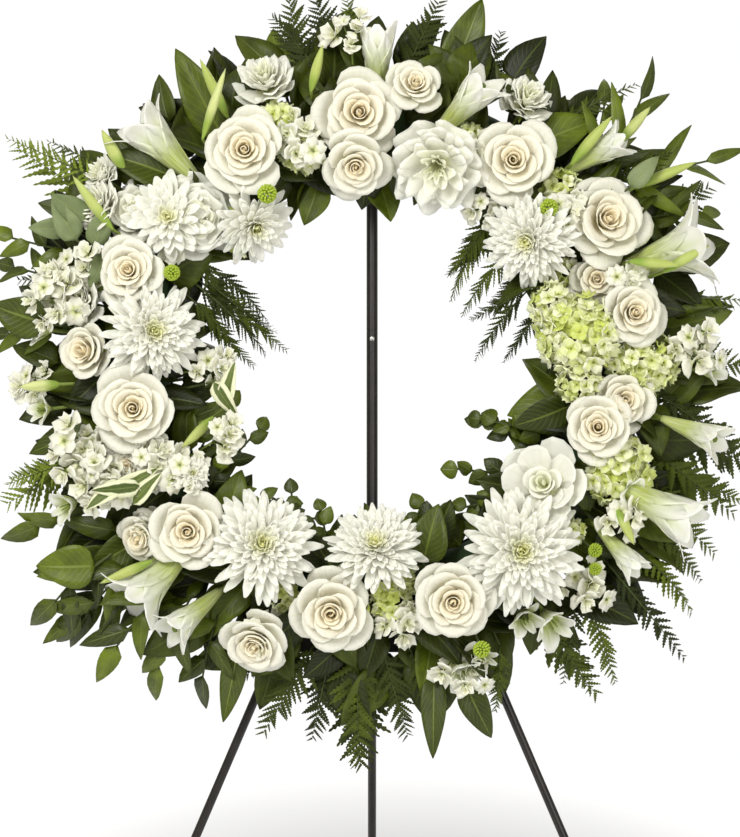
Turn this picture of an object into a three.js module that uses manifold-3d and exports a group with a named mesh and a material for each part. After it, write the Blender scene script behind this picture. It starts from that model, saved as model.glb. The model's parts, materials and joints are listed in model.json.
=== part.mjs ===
// Funeral wreath of fresh white flowers on a folding tripod easel of black steel tube.
// Millimetres. +Z is up and the wreath faces -Y. The origin is on the floor under the middle of the whole piece.
// The mast, the front legs and the wreath share one plane that leans back, and the rear leg props it from behind.
import * as THREE from "three";
import { mergeVertices } from "three/addons/utils/BufferGeometryUtils.js";
import Module from "manifold-3d";

const wasm = await Module();
wasm.setup();

// ---- Driving dimensions ----
const GAP = 0.3; // clearance between pieces that touch
const LEAN = THREE.MathUtils.degToRad(8); // the mast leans back this far

const WREATH_HEIGHT = 909; // up the mast from the front feet to the middle of the ring
const CORE_RADIUS = 245; // middle of the foam's section
const FOAM_WIDTH = 70;
const FOAM_DEPTH = 50;
const TRAY_WALL = 2;
const TRAY_RIM = 12;
const RING_SIDES = 40;

const MAST_DIAMETER = 11.6;
const MAST_WALL = 0.8;
const MAST_JOINT_HEIGHT = WREATH_HEIGHT + 33; // where the upper tube plugs into the lower one
const MAST_TOP_HEIGHT = WREATH_HEIGHT + 326;
const SPIGOT_LENGTH = 28;
const TUBE_SIDES = 16;

const YOKE_HEIGHT = 630; // front pivots, up the mast line
const YOKE_SIZE = new THREE.Vector3(226, 3, 46);
const YOKE_SHIFT = 8; // the yoke sits a little to the right of the mast
const PIVOT_SPREAD = 99; // each front pivot from the yoke's middle
const MAST_RIVET_HEIGHT = YOKE_HEIGHT - 13;
const LUG_REACH = 17; // the rear hinge lugs stand out this far behind the yoke
const LUG_THICKNESS = 2.5;
const LUG_HALF_HEIGHT = 9;
const STOP_TAB_THICKNESS = 4;
const STOP_TAB_REACH = 6;

const LEG_DIAMETER = 9;
const LEG_WALL = 0.9;
const FRONT_SPLAY = THREE.MathUtils.degToRad(23.2); // each front leg from the mast line
const REAR_SPLAY = THREE.MathUtils.degToRad(32.2); // the rear leg from the mast line
const LEG_OVERHANG = 11; // tube beyond its pivot
const RIVET_RADIUS = 2.4;
const JOINT_RIVET_RADIUS = 1.5;
const HOOK_RADIUS = 2.5;
const LOOP_WIRE_RADIUS = 1.2;
const LOOP_SPREAD = 20; // each end of the wire loop from the middle
const LOOP_RISE = 312; // top of the wire loop above the middle of the ring

const FOOT_RADIUS = 8.5;
const FOOT_LENGTH = 34;
const SOLE_THICKNESS = 9;

const STEM_RADIUS = 2.8;
const STEM_START = 12; // each stem is pushed in to this distance from the foam's core circle
const LEAF_THICKNESS = 2.4;
const STEM_SIDES = 10;

// ---- Finishes ----
const BLACK_STEEL = { color: 0x17130f, roughness: 0.38, metalness: 0.6 };
const BRIGHT_STEEL = { color: 0xb9b6b0, roughness: 0.3, metalness: 1 };
const BLACK_RUBBER = { color: 0x121212, roughness: 0.85, metalness: 0 };
const GREEN_PLASTIC = { color: 0x1d3a22, roughness: 0.5, metalness: 0 };
const WET_FOAM = { color: 0x2f5a34, roughness: 0.95, metalness: 0 };
const CREAM_PETAL = { color: 0xf4ecd8, roughness: 0.6, metalness: 0 };
const WHITE_PETAL = { color: 0xf7f7f2, roughness: 0.6, metalness: 0 };
const LIME_PETAL = { color: 0xe9f0cf, roughness: 0.6, metalness: 0 };
const DARK_LEAF = { color: 0x24401f, roughness: 0.45, metalness: 0 };
const FERN_LEAF = { color: 0x3a5f2a, roughness: 0.6, metalness: 0 };

// ---- Solids and meshes ----
function solidFrom(geometry, matrix = new THREE.Matrix4()) {
  const bare = geometry.index ? geometry.toNonIndexed() : geometry.clone();
  bare.deleteAttribute("normal");
  bare.deleteAttribute("uv");
  const merged = mergeVertices(bare.applyMatrix4(matrix));
  return new wasm.Manifold(
    new wasm.Mesh({
      numProp: 3,
      vertProperties: merged.attributes.position.array,
      triVerts: new Uint32Array(merged.index.array),
    }),
  );
}

function geometryFrom(solid) {
  const mesh = solid.getMesh();
  const geometry = new THREE.BufferGeometry();
  geometry.setAttribute("position", new THREE.BufferAttribute(mesh.vertProperties, 3));
  geometry.setIndex(new THREE.BufferAttribute(mesh.triVerts, 1));
  geometry.computeVertexNormals();
  return geometry;
}

function addPiece(group, name, shape, finish) {
  const geometry = shape.isBufferGeometry ? shape : geometryFrom(shape);
  const mesh = new THREE.Mesh(geometry, new THREE.MeshStandardMaterial(finish));
  mesh.name = name;
  group.add(mesh);
  return mesh;
}

// A shape turned about Y from [radius, height] points.
function turned(profile, sides) {
  return new THREE.LatheGeometry(profile.map(([radius, height]) => new THREE.Vector2(radius, height)), sides);
}

// The matrix that stands a Y shape at a point, along a direction, with its Z face towards the front.
function along(point, direction, facing = new THREE.Vector3(0, -1, 0)) {
  const up = direction.clone().normalize();
  const side = new THREE.Vector3().crossVectors(up, facing).normalize();
  const front = new THREE.Vector3().crossVectors(side, up);
  return new THREE.Matrix4().makeBasis(side, up, front).setPosition(point);
}

function rod(radius, start, end, sides = TUBE_SIDES) {
  const length = start.distanceTo(end);
  const shape = turned([[0, 0], [radius, 0], [radius, length], [0, length]], sides);
  return solidFrom(shape, along(start, end.clone().sub(start), new THREE.Vector3(0.6, 0, 0.8)));
}

function tubeProfile(outer, inner, bottom, top) {
  return [[inner, bottom], [outer, bottom], [outer, top], [inner, top], [inner, bottom]];
}

// A rivet through a wall: a shank with a domed head at each end.
function rivet(start, end, shankRadius) {
  const length = start.distanceTo(end);
  const head = shankRadius * 1.8;
  const dome = shankRadius * 0.9;
  const profile = [
    [0, -dome], [head * 0.7, -dome * 0.75], [head, 0], [shankRadius, 0],
    [shankRadius, length], [head, length], [head * 0.7, length + dome * 0.75], [0, length + dome],
  ];
  return solidFrom(turned(profile, 12), along(start, end.clone().sub(start), new THREE.Vector3(0.6, 0, 0.8)));
}

const object = new THREE.Group();
const floorFrame = new THREE.Group(); // world directions, shifted at the end to centre the origin
const leaning = new THREE.Group(); // the plane of the mast, the front legs and the wreath
leaning.rotation.x = -LEAN;
floorFrame.add(leaning);
object.add(floorFrame);
leaning.updateMatrix();

// ---- Wreath base: a plastic tray ring, a ring of flower foam and a wire loop to hang it by ----
const foamBack = FOAM_DEPTH / 2;
const foamInner = CORE_RADIUS - FOAM_WIDTH / 2;
const foamOuter = CORE_RADIUS + FOAM_WIDTH / 2;
const trayBack = foamBack + GAP + TRAY_WALL;
const mastY = trayBack + GAP + MAST_DIAMETER / 2;

const wreath = new THREE.Group();
wreath.position.set(0, 0, WREATH_HEIGHT);
leaning.add(wreath);

function onRing(clock, radius, forward) {
  const angle = THREE.MathUtils.degToRad(clock);
  return new THREE.Vector3(radius * Math.sin(angle), -forward, radius * Math.cos(angle));
}

function ringTurned(profile) {
  return solidFrom(turned(profile, RING_SIDES), new THREE.Matrix4().makeRotationX(Math.PI));
}

function trayRing() {
  const inner = foamInner - GAP;
  const outer = foamOuter + GAP;
  const floor = -foamBack - GAP;
  return ringTurned([
    [inner - TRAY_WALL, floor - TRAY_WALL], [outer + TRAY_WALL, floor - TRAY_WALL],
    [outer + TRAY_WALL, floor + TRAY_RIM], [outer, floor + TRAY_RIM], [outer, floor],
    [inner, floor], [inner, floor + TRAY_RIM], [inner - TRAY_WALL, floor + TRAY_RIM],
    [inner - TRAY_WALL, floor - TRAY_WALL],
  ]);
}

function foamRing() {
  const chamfer = 14;
  return ringTurned([
    [foamInner, -foamBack], [foamOuter, -foamBack], [foamOuter, foamBack - chamfer],
    [foamOuter - chamfer, foamBack], [foamInner + chamfer, foamBack], [foamInner, foamBack - chamfer],
    [foamInner, -foamBack],
  ]);
}

function hangingLoop(wireRadius) {
  const route = new THREE.CatmullRomCurve3([
    new THREE.Vector3(-LOOP_SPREAD, 3, foamOuter - 22),
    new THREE.Vector3(-LOOP_SPREAD, 3, foamOuter + 10),
    new THREE.Vector3(-LOOP_SPREAD * 0.65, 5, LOOP_RISE - 6),
    new THREE.Vector3(0, 6, LOOP_RISE),
    new THREE.Vector3(LOOP_SPREAD * 0.65, 5, LOOP_RISE - 6),
    new THREE.Vector3(LOOP_SPREAD, 3, foamOuter + 10),
    new THREE.Vector3(LOOP_SPREAD, 3, foamOuter - 22),
  ]);
  const circle = new THREE.Shape().absarc(0, 0, wireRadius, 0, 2 * Math.PI);
  const settings = { steps: 20, curveSegments: 4, bevelEnabled: false, extrudePath: route };
  return solidFrom(new THREE.ExtrudeGeometry(circle, settings));
}

// ---- Flowers: one turned solid each, a stem with its head, along a line out of the foam's core circle ----
// Each profile is [share of the head's radius, share of the head's length].
const HEADS = {
  rose: { length: 0.62, outline: [[0.4, 0.12], [0.86, 0.42], [1, 0.72], [0.8, 0.94], [0.4, 1]] },
  mum: { length: 0.46, outline: [[0.34, 0.1], [0.9, 0.3], [1, 0.55], [0.72, 0.88], [0.3, 1]] },
  hydrangea: { length: 0.66, outline: [[0.5, 0.12], [0.94, 0.34], [1, 0.6], [0.74, 0.87], [0.34, 1]] },
  lily: { length: 1.15, outline: [[0.2, 0.08], [0.34, 0.5], [0.62, 0.84], [1, 1]] },
  bloom: { length: 0.6, outline: [[0.3, 0.1], [0.85, 0.5], [1, 0.75], [0.7, 0.95]] },
};

// [name, clock degrees, radius, reach in front of the core plane, head diameter, twist of the stem in degrees]
const FLOWERS = {
  rose: [
    ["rose_upper_left", 328, 243, 104, 72, 0],
    ["rose_top", 357, 246, 96, 76, 0],
    ["rose_top_inner", 355, 176, 88, 60, 0],
    ["rose_upper_right", 36, 241, 104, 74, 0],
    ["rose_right_high", 60, 289, 88, 76, 0],
    ["rose_right", 81, 275, 92, 58, 0],
    ["rose_right_low", 108, 236, 98, 58, 0],
    ["rose_bottom_right", 162, 268, 104, 68, 0],
    ["rose_bottom_left", 189, 270, 98, 70, 0],
    ["rose_bottom_outer", 202, 333, 72, 58, 0],
    ["rose_lower_left", 226, 262, 100, 68, 0],
    ["rose_left_low", 257, 247, 108, 70, 0],
    ["rose_left_high", 289, 264, 98, 58, 0],
  ],
  mum: [
    ["mum_left", 276, 214, 96, 78, 0],
    ["mum_lower_left", 210, 214, 100, 84, 0],
    ["mum_bottom", 179, 180, 88, 72, 0],
    ["mum_lower_right", 143, 249, 104, 92, 0],
    ["mum_right_inner", 54, 182, 88, 74, 0],
    ["mum_upper_left", 304, 250, 88, 70, 0],
  ],
  hydrangea: [
    ["hydrangea_right_inner", 84, 188, 86, 76, 0],
    ["hydrangea_right_outer", 91, 296, 62, 60, 0],
    ["hydrangea_right_low", 115, 290, 74, 64, 0],
    ["hydrangea_bottom", 176, 254, 66, 44, 0],
  ],
  lily: [
    ["lily_upper_left", 315, 338, 66, 66, 0],
    ["lily_top", 1, 338, 52, 56, 0],
    ["lily_upper_right", 23, 300, 84, 58, 6],
    ["lily_right", 71, 360, 58, 70, 0],
    ["lily_lower_right", 118, 368, 74, 66, 0],
    ["lily_lower_left", 224, 350, 58, 62, 0],
  ],
  bloom: [
    ["lisianthus_upper_right", 19, 186, 92, 74, 0],
    ["peony_lower_right", 127, 205, 86, 62, 0],
  ],
};
const PETALS = { rose: CREAM_PETAL, mum: WHITE_PETAL, hydrangea: LIME_PETAL, lily: WHITE_PETAL, bloom: WHITE_PETAL };

function stemLine([, clock, radius, forward, , twist]) {
  const root = onRing(clock - twist, CORE_RADIUS, 0);
  const tip = onRing(clock, radius, forward);
  return { root, direction: tip.clone().sub(root).normalize(), reach: tip.distanceTo(root) };
}

function flowerHead(kind, row) {
  const { root, direction, reach } = stemLine(row);
  const headRadius = row[4] / 2;
  const headLength = HEADS[kind].length * row[4];
  const neck = reach - headLength;
  const profile = [[0, STEM_START], [STEM_RADIUS, STEM_START], [STEM_RADIUS, neck]];
  for (const [width, height] of HEADS[kind].outline) profile.push([width * headRadius, neck + height * headLength]);
  profile.push([0, reach - 0.03 * headLength]);
  return turned(profile, STEM_SIDES).applyMatrix4(along(root, direction));
}

// ---- Foliage: one flat blade each, on a stem out of the foam's side ----
// Each outline is [share of the half width, share of the blade's length].
const BLADES = {
  fern: { start: 0.3, outline: [[0.55, 0.06], [1, 0.3], [0.8, 0.6], [0.4, 0.85]] },
  salal: { start: 0.5, outline: [[0.5, 0.06], [0.95, 0.3], [1, 0.5], [0.6, 0.82]] },
  ruscus: { start: 0.35, outline: [[0.7, 0.1], [1, 0.4], [0.5, 0.85]] },
};

// [name, kind, clock degrees of the root, of the tip, tip radius, reach in front of the core plane, blade width]
const FOLIAGE = [
  ["fern_upper_left", "fern", 299, 301, 428, 2, 90],
  ["fern_left", "fern", 252, 249, 404, 4, 84],
  ["ruscus_lower_left", "ruscus", 232, 229, 420, 2, 60],
  ["fern_bottom", "fern", 186, 182, 416, 6, 96],
  ["plumosus_lower_right", "fern", 149, 147, 414, 4, 100],
  ["fern_right", "fern", 101, 106, 404, 2, 96],
  ["fern_right_high", "fern", 64, 63, 392, 2, 70],
  ["salal_top_right", "salal", 14, 17, 392, 6, 40],
  ["fern_top_left", "fern", 346, 347, 384, 4, 74],
];

function leafLine([, , rootClock, tipClock, tipRadius, forward]) {
  const root = onRing(rootClock, CORE_RADIUS, 0);
  const tip = onRing(tipClock, tipRadius, forward);
  return { root, direction: tip.clone().sub(root).normalize(), reach: tip.distanceTo(root) };
}

function leafBlade(row) {
  const { root, direction, reach } = leafLine(row);
  const { start, outline } = BLADES[row[1]];
  const halfWidth = row[6] / 2;
  const halfStem = STEM_RADIUS * 0.7;
  const bladeStart = reach * start;
  const bladeLength = reach - bladeStart;
  const right = outline.map(([width, height]) => [width * halfWidth, bladeStart + height * bladeLength]);
  const left = right.map(([width, height]) => [-width, height]).reverse();
  const points = [[-halfStem, bladeStart], [-halfStem, STEM_START], [halfStem, STEM_START], [halfStem, bladeStart]];
  points.push(...right, [0, reach], ...left);
  const shape = new THREE.Shape(points.map(([x, y]) => new THREE.Vector2(x, y)));
  const blade = new THREE.ExtrudeGeometry(shape, { depth: LEAF_THICKNESS, bevelEnabled: false, steps: 1 });
  return blade.translate(0, 0, -LEAF_THICKNESS / 2).applyMatrix4(along(root, direction));
}

// A hole in the foam for a stem, open at the foam's face.
function stemHole({ root, direction }) {
  const holeRadius = (STEM_RADIUS + GAP) / Math.cos(Math.PI / STEM_SIDES);
  const hole = turned([[0, STEM_START - GAP], [holeRadius, STEM_START - GAP], [holeRadius, 60], [0, 60]], STEM_SIDES);
  return solidFrom(hole, along(root, direction));
}

const stems = FOLIAGE.map(leafLine);
for (const rows of Object.values(FLOWERS)) stems.push(...rows.map(stemLine));
let foam = foamRing().subtract(hangingLoop(LOOP_WIRE_RADIUS + GAP));
for (const stem of stems) foam = foam.subtract(stemHole(stem));

addPiece(wreath, "tray_ring", trayRing(), GREEN_PLASTIC);
addPiece(wreath, "foam_ring", foam, WET_FOAM);
addPiece(wreath, "hanging_loop", hangingLoop(LOOP_WIRE_RADIUS), BRIGHT_STEEL);
for (const [kind, rows] of Object.entries(FLOWERS)) {
  for (const row of rows) addPiece(wreath, row[0], flowerHead(kind, row), PETALS[kind]);
}
for (const row of FOLIAGE) {
  addPiece(wreath, row[0], leafBlade(row), row[1] === "fern" ? FERN_LEAF : DARK_LEAF);
}

// ---- Easel mast: two tubes plugged together, with a cap, a hook and their fastenings ----
const mastRadius = MAST_DIAMETER / 2;
const mastFoot = YOKE_HEIGHT - YOKE_SIZE.z / 2 - 14;
const boreRadius = mastRadius - MAST_WALL;
const jointRivetHeight = MAST_JOINT_HEIGHT - 9;
const hookHeight = WREATH_HEIGHT + LOOP_RISE - LOOP_WIRE_RADIUS - GAP - HOOK_RADIUS;
const up = new THREE.Matrix4().makeRotationX(Math.PI / 2);

function standing(profile, sides) {
  return solidFrom(turned(profile, sides), new THREE.Matrix4().makeTranslation(0, mastY, 0).multiply(up));
}

function across(height, front, back, radius, x = 0) {
  return rod(radius, new THREE.Vector3(x, front, height), new THREE.Vector3(x, back, height), 12);
}

const mastFront = mastY - mastRadius;
const mastBack = mastY + mastRadius;

let lowerTube = standing(tubeProfile(mastRadius, boreRadius, mastFoot, MAST_JOINT_HEIGHT - GAP), TUBE_SIDES);
lowerTube = lowerTube.subtract(across(jointRivetHeight, 0, 2 * mastY, JOINT_RIVET_RADIUS + GAP));
lowerTube = lowerTube.subtract(across(MAST_RIVET_HEIGHT, 0, 2 * mastY, RIVET_RADIUS + GAP));

const spigotRadius = boreRadius - GAP;
const upperProfile = [
  [spigotRadius - MAST_WALL, MAST_JOINT_HEIGHT - SPIGOT_LENGTH], [spigotRadius, MAST_JOINT_HEIGHT - SPIGOT_LENGTH],
  [spigotRadius, MAST_JOINT_HEIGHT], [mastRadius, MAST_JOINT_HEIGHT], [mastRadius, MAST_TOP_HEIGHT],
  [spigotRadius - MAST_WALL, MAST_TOP_HEIGHT], [spigotRadius - MAST_WALL, MAST_JOINT_HEIGHT - SPIGOT_LENGTH],
];
let upperTube = standing(upperProfile, TUBE_SIDES);
upperTube = upperTube.subtract(across(jointRivetHeight, 0, 2 * mastY, JOINT_RIVET_RADIUS + GAP));
upperTube = upperTube.subtract(across(hookHeight, 0, 2 * mastY, HOOK_RADIUS + GAP));

function rivetAcross(height, front, back, radius, x = 0) {
  return rivet(new THREE.Vector3(x, front, height), new THREE.Vector3(x, back, height), radius);
}

// A bent rod through the mast: it reaches forward under the wreath's loop and turns up at its end.
function mastHook() {
  const reach = -4;
  const bar = across(hookHeight, reach, mastBack + 9, HOOK_RADIUS);
  const corner = new THREE.Vector3(0, reach, hookHeight);
  const end = rod(HOOK_RADIUS, corner, new THREE.Vector3(0, reach - 4, hookHeight + 15), 12);
  const elbow = solidFrom(new THREE.SphereGeometry(HOOK_RADIUS, 12, 8).translate(corner.x, corner.y, corner.z));
  return bar.add(end).add(elbow);
}

function hookNut() {
  const front = new THREE.Vector3(0, mastBack + GAP, hookHeight);
  const nut = rod(2 * HOOK_RADIUS, front, front.clone().setY(mastBack + 4.5), 6);
  return nut.subtract(across(hookHeight, mastBack - 1, mastBack + 8, HOOK_RADIUS + GAP));
}

const capProfile = [
  [0, MAST_TOP_HEIGHT - 12], [spigotRadius - MAST_WALL - GAP, MAST_TOP_HEIGHT - 12],
  [spigotRadius - MAST_WALL - GAP, MAST_TOP_HEIGHT + GAP], [mastRadius, MAST_TOP_HEIGHT + GAP],
  [mastRadius * 0.9, MAST_TOP_HEIGHT + 3], [mastRadius * 0.4, MAST_TOP_HEIGHT + 4.5], [0, MAST_TOP_HEIGHT + 4.8],
];

addPiece(leaning, "mast_lower_tube", lowerTube, BLACK_STEEL);
addPiece(leaning, "mast_upper_tube", upperTube, BLACK_STEEL);
const jointRivet = rivetAcross(jointRivetHeight, mastFront - GAP, mastBack + GAP, JOINT_RIVET_RADIUS);
addPiece(leaning, "mast_joint_rivet", jointRivet, BRIGHT_STEEL);
addPiece(leaning, "mast_cap", standing(capProfile, TUBE_SIDES), BLACK_RUBBER);
addPiece(leaning, "wreath_hook", mastHook(), BLACK_STEEL);
addPiece(leaning, "hook_nut", hookNut(), BRIGHT_STEEL);

// ---- Yoke: a pressed plate behind the mast, with stop tabs for the front legs and lugs for the rear leg ----
const yokeFront = mastBack + GAP;
const yokeBack = yokeFront + YOKE_SIZE.y;
const legRadius = LEG_DIAMETER / 2;
const legY = yokeFront - GAP - legRadius;
const rearPivot = new THREE.Vector3(0, yokeBack + 11.5, YOKE_HEIGHT - 8);
const sides = { left: -1, right: 1 };
const pivots = {};
for (const [side, sign] of Object.entries(sides)) {
  pivots[side] = new THREE.Vector3(YOKE_SHIFT + sign * PIVOT_SPREAD, legY, YOKE_HEIGHT);
}

function box(low, high) {
  const size = high.clone().sub(low);
  const centre = low.clone().add(high).multiplyScalar(0.5);
  return solidFrom(new THREE.BoxGeometry(size.x, size.y, size.z).translate(centre.x, centre.y, centre.z));
}

function yoke() {
  const corner = 14;
  const half = YOKE_SIZE.x / 2;
  const tall = YOKE_SIZE.z / 2;
  const shape = new THREE.Shape();
  shape.moveTo(-half + corner, -tall);
  shape.lineTo(half - corner, -tall);
  shape.absarc(half - corner, -tall + corner, corner, -Math.PI / 2, 0);
  shape.absarc(half - corner, tall - corner, corner, 0, Math.PI / 2);
  shape.absarc(-half + corner, tall - corner, corner, Math.PI / 2, Math.PI);
  shape.absarc(-half + corner, -tall + corner, corner, Math.PI, Math.PI * 1.5);
  const settings = { depth: YOKE_SIZE.y, bevelEnabled: false, curveSegments: 4 };
  const flat = new THREE.ExtrudeGeometry(shape, settings).rotateX(Math.PI / 2);
  let plate = solidFrom(flat.translate(YOKE_SHIFT, yokeBack, YOKE_HEIGHT));
  for (const sign of Object.values(sides)) {
    const lugInner = legRadius + GAP;
    const lugOuter = lugInner + LUG_THICKNESS;
    const xs = [sign * lugInner, sign * lugOuter].sort((a, b) => a - b);
    plate = plate.add(box(
      new THREE.Vector3(xs[0], yokeBack - 1, rearPivot.z - LUG_HALF_HEIGHT),
      new THREE.Vector3(xs[1], yokeBack + LUG_REACH, rearPivot.z + LUG_HALF_HEIGHT),
    ));
    // The leg's short end bears on this tab when the foot is out.
    const legEdge = legRadius / Math.cos(FRONT_SPLAY) + (LEG_OVERHANG - STOP_TAB_THICKNESS) * Math.tan(FRONT_SPLAY);
    const tabX = YOKE_SHIFT + sign * (PIVOT_SPREAD - legEdge - STOP_TAB_THICKNESS / 2 - 2 * GAP);
    plate = plate.add(box(
      new THREE.Vector3(tabX - STOP_TAB_THICKNESS / 2, yokeFront - STOP_TAB_REACH, YOKE_HEIGHT + LEG_OVERHANG - 6),
      new THREE.Vector3(tabX + STOP_TAB_THICKNESS / 2, yokeFront + 1, YOKE_HEIGHT + LEG_OVERHANG + 4),
    ));
  }
  plate = plate.subtract(across(MAST_RIVET_HEIGHT, mastY, yokeBack + 5, RIVET_RADIUS + GAP));
  for (const pivot of Object.values(pivots)) {
    plate = plate.subtract(across(pivot.z, mastY, yokeBack + 5, RIVET_RADIUS + GAP, pivot.x));
  }
  const pinStart = rearPivot.clone().setX(-20);
  return plate.subtract(rod(RIVET_RADIUS + GAP, pinStart, rearPivot.clone().setX(20), 12));
}

addPiece(leaning, "yoke", yoke(), BLACK_STEEL);
const mastRivet = rivetAcross(MAST_RIVET_HEIGHT, mastFront - GAP, yokeBack + GAP, RIVET_RADIUS);
addPiece(leaning, "mast_rivet", mastRivet, BRIGHT_STEEL);

// ---- Legs: three equal tubes, each on a rivet or pin at its top and with a rubber foot ----
function legEnd(pivot, direction) {
  const lift = new THREE.Vector3(0, 0, 1).applyEuler(new THREE.Euler(LEAN, 0, 0));
  return pivot.dot(lift) / -direction.dot(lift);
}

function leg(pivot, direction, cross) {
  const length = legEnd(pivot, direction) - SOLE_THICKNESS;
  const profile = tubeProfile(legRadius, legRadius - LEG_WALL, -LEG_OVERHANG, length);
  const tube = solidFrom(turned(profile, TUBE_SIDES), along(pivot, direction, cross));
  const start = pivot.clone().addScaledVector(cross, -12);
  return tube.subtract(rod(RIVET_RADIUS + GAP, start, pivot.clone().addScaledVector(cross, 12), 12));
}

// The foot is a rubber ferrule on the tube's end, with its sole flat on the floor.
function foot(pivot, direction) {
  const length = legEnd(pivot, direction);
  const socket = legRadius + GAP;
  const profile = [
    [0, length + 14], [FOOT_RADIUS + 1, length + 14], [FOOT_RADIUS, length - 12],
    [FOOT_RADIUS - 1.5, length - FOOT_LENGTH + SOLE_THICKNESS], [socket, length - FOOT_LENGTH + SOLE_THICKNESS],
    [socket, length - SOLE_THICKNESS + GAP], [0, length - SOLE_THICKNESS + GAP],
  ].reverse();
  const solid = solidFrom(turned(profile, TUBE_SIDES), leaning.matrix.clone().multiply(along(pivot, direction)));
  const below = new THREE.BoxGeometry(2400, 2400, 100).translate(0, 0, -50);
  return solid.subtract(solidFrom(below));
}

for (const [side, sign] of Object.entries(sides)) {
  const pivot = pivots[side];
  const direction = new THREE.Vector3(sign * Math.sin(FRONT_SPLAY), 0, -Math.cos(FRONT_SPLAY));
  addPiece(leaning, side + "_front_leg", leg(pivot, direction, new THREE.Vector3(0, 1, 0)), BLACK_STEEL);
  addPiece(floorFrame, side + "_front_foot", foot(pivot, direction), BLACK_RUBBER);
  const pin = rivetAcross(pivot.z, legY - legRadius - GAP, yokeBack + GAP, RIVET_RADIUS, pivot.x);
  addPiece(leaning, side + "_pivot_rivet", pin, BRIGHT_STEEL);
}

const rearDirection = new THREE.Vector3(0, Math.sin(REAR_SPLAY), -Math.cos(REAR_SPLAY));
const lugFace = legRadius + GAP + LUG_THICKNESS + GAP;
addPiece(leaning, "rear_leg", leg(rearPivot, rearDirection, new THREE.Vector3(1, 0, 0)), BLACK_STEEL);
addPiece(floorFrame, "rear_foot", foot(rearPivot, rearDirection), BLACK_RUBBER);
const pinEnds = [rearPivot.clone().setX(-lugFace), rearPivot.clone().setX(lugFace)];
addPiece(leaning, "rear_hinge_pin", rivet(pinEnds[0], pinEnds[1], RIVET_RADIUS), BRIGHT_STEEL);

// ---- The origin goes on the floor under the middle of the whole piece ----
object.updateMatrixWorld(true);
const bounds = new THREE.Box3().setFromObject(object, true);
const middle = bounds.getCenter(new THREE.Vector3());
floorFrame.position.set(-middle.x, -middle.y, -bounds.min.z);

export default object;
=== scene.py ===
import json
import math
import random
import bpy
import bmesh
from mathutils import Matrix, Vector


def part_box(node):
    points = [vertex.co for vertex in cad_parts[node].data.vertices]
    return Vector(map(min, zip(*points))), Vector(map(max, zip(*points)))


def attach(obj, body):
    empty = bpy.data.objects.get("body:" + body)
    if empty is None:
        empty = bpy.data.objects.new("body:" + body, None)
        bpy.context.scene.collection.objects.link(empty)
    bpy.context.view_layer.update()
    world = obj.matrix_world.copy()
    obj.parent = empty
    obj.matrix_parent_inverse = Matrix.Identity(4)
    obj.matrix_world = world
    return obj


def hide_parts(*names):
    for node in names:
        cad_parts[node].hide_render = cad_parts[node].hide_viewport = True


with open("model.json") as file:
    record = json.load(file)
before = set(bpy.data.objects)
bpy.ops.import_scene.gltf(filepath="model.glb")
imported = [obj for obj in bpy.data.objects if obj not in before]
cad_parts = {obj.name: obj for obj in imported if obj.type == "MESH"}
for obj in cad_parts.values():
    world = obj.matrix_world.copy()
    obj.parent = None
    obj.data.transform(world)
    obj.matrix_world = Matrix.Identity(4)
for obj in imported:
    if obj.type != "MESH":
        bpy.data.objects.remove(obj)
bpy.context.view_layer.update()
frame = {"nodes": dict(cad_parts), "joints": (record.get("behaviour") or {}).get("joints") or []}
scene = bpy.context.scene

# ---- Easel tubes, hook and yoke ----
# The mast, legs, hook and pressed yoke are steel with a satin brown-black enamel.
# It is sprayed on, so it is smooth with a faint orange peel, and its gloss is a little uneven.


def new_finish(name):
    material = bpy.data.materials.new(name)
    material.use_nodes = True
    tree = material.node_tree
    return material, tree, tree.nodes["Principled BSDF"]


def object_noise(tree, scale, detail=2.0):
    place = tree.nodes.new("ShaderNodeTexCoord")
    noise = tree.nodes.new("ShaderNodeTexNoise")
    noise.inputs["Scale"].default_value = scale
    noise.inputs["Detail"].default_value = detail
    tree.links.new(place.outputs["Object"], noise.inputs["Vector"])
    return noise.outputs["Fac"]


def colour_ramp(tree, value, stops):
    ramp = tree.nodes.new("ShaderNodeValToRGB")
    while len(ramp.color_ramp.elements) < len(stops):
        ramp.color_ramp.elements.new(0.5)
    for element, (position, colour) in zip(ramp.color_ramp.elements, stops):
        element.position = position
        element.color = (*colour, 1)
    tree.links.new(value, ramp.inputs["Fac"])
    return ramp.outputs["Color"]


def spread_value(tree, value, low, high, start=0.0, end=1.0):
    """Turns a value between start and end into one between low and high."""
    span = tree.nodes.new("ShaderNodeMapRange")
    span.inputs["From Min"].default_value = start
    span.inputs["From Max"].default_value = end
    span.inputs["To Min"].default_value = low
    span.inputs["To Max"].default_value = high
    tree.links.new(value, span.inputs["Value"])
    return span.outputs["Result"]


def add_bump(tree, shader, height, strength, distance):
    bump = tree.nodes.new("ShaderNodeBump")
    bump.inputs["Strength"].default_value = strength
    bump.inputs["Distance"].default_value = distance
    tree.links.new(height, bump.inputs["Height"])
    tree.links.new(bump.outputs["Normal"], shader.inputs["Normal"])


def easel_enamel():
    material, tree, shader = new_finish("easel_enamel")
    patches = object_noise(tree, 55, 5)
    colour = colour_ramp(tree, patches, [(0.3, (0.010, 0.008, 0.007)), (0.75, (0.021, 0.017, 0.014))])
    tree.links.new(colour, shader.inputs["Base Color"])
    tree.links.new(spread_value(tree, patches, 0.26, 0.44), shader.inputs["Roughness"])
    add_bump(tree, shader, object_noise(tree, 900), 0.12, 0.0004)
    shader.inputs["Specular IOR Level"].default_value = 0.3
    shader.inputs["Coat Weight"].default_value = 0.12
    shader.inputs["Coat Roughness"].default_value = 0.22
    return material


def dress(material, *nodes):
    """Gives CAD nodes their finish."""
    for node in nodes:
        data = frame["nodes"][node].data
        data.materials.clear()
        data.materials.append(material)


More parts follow.
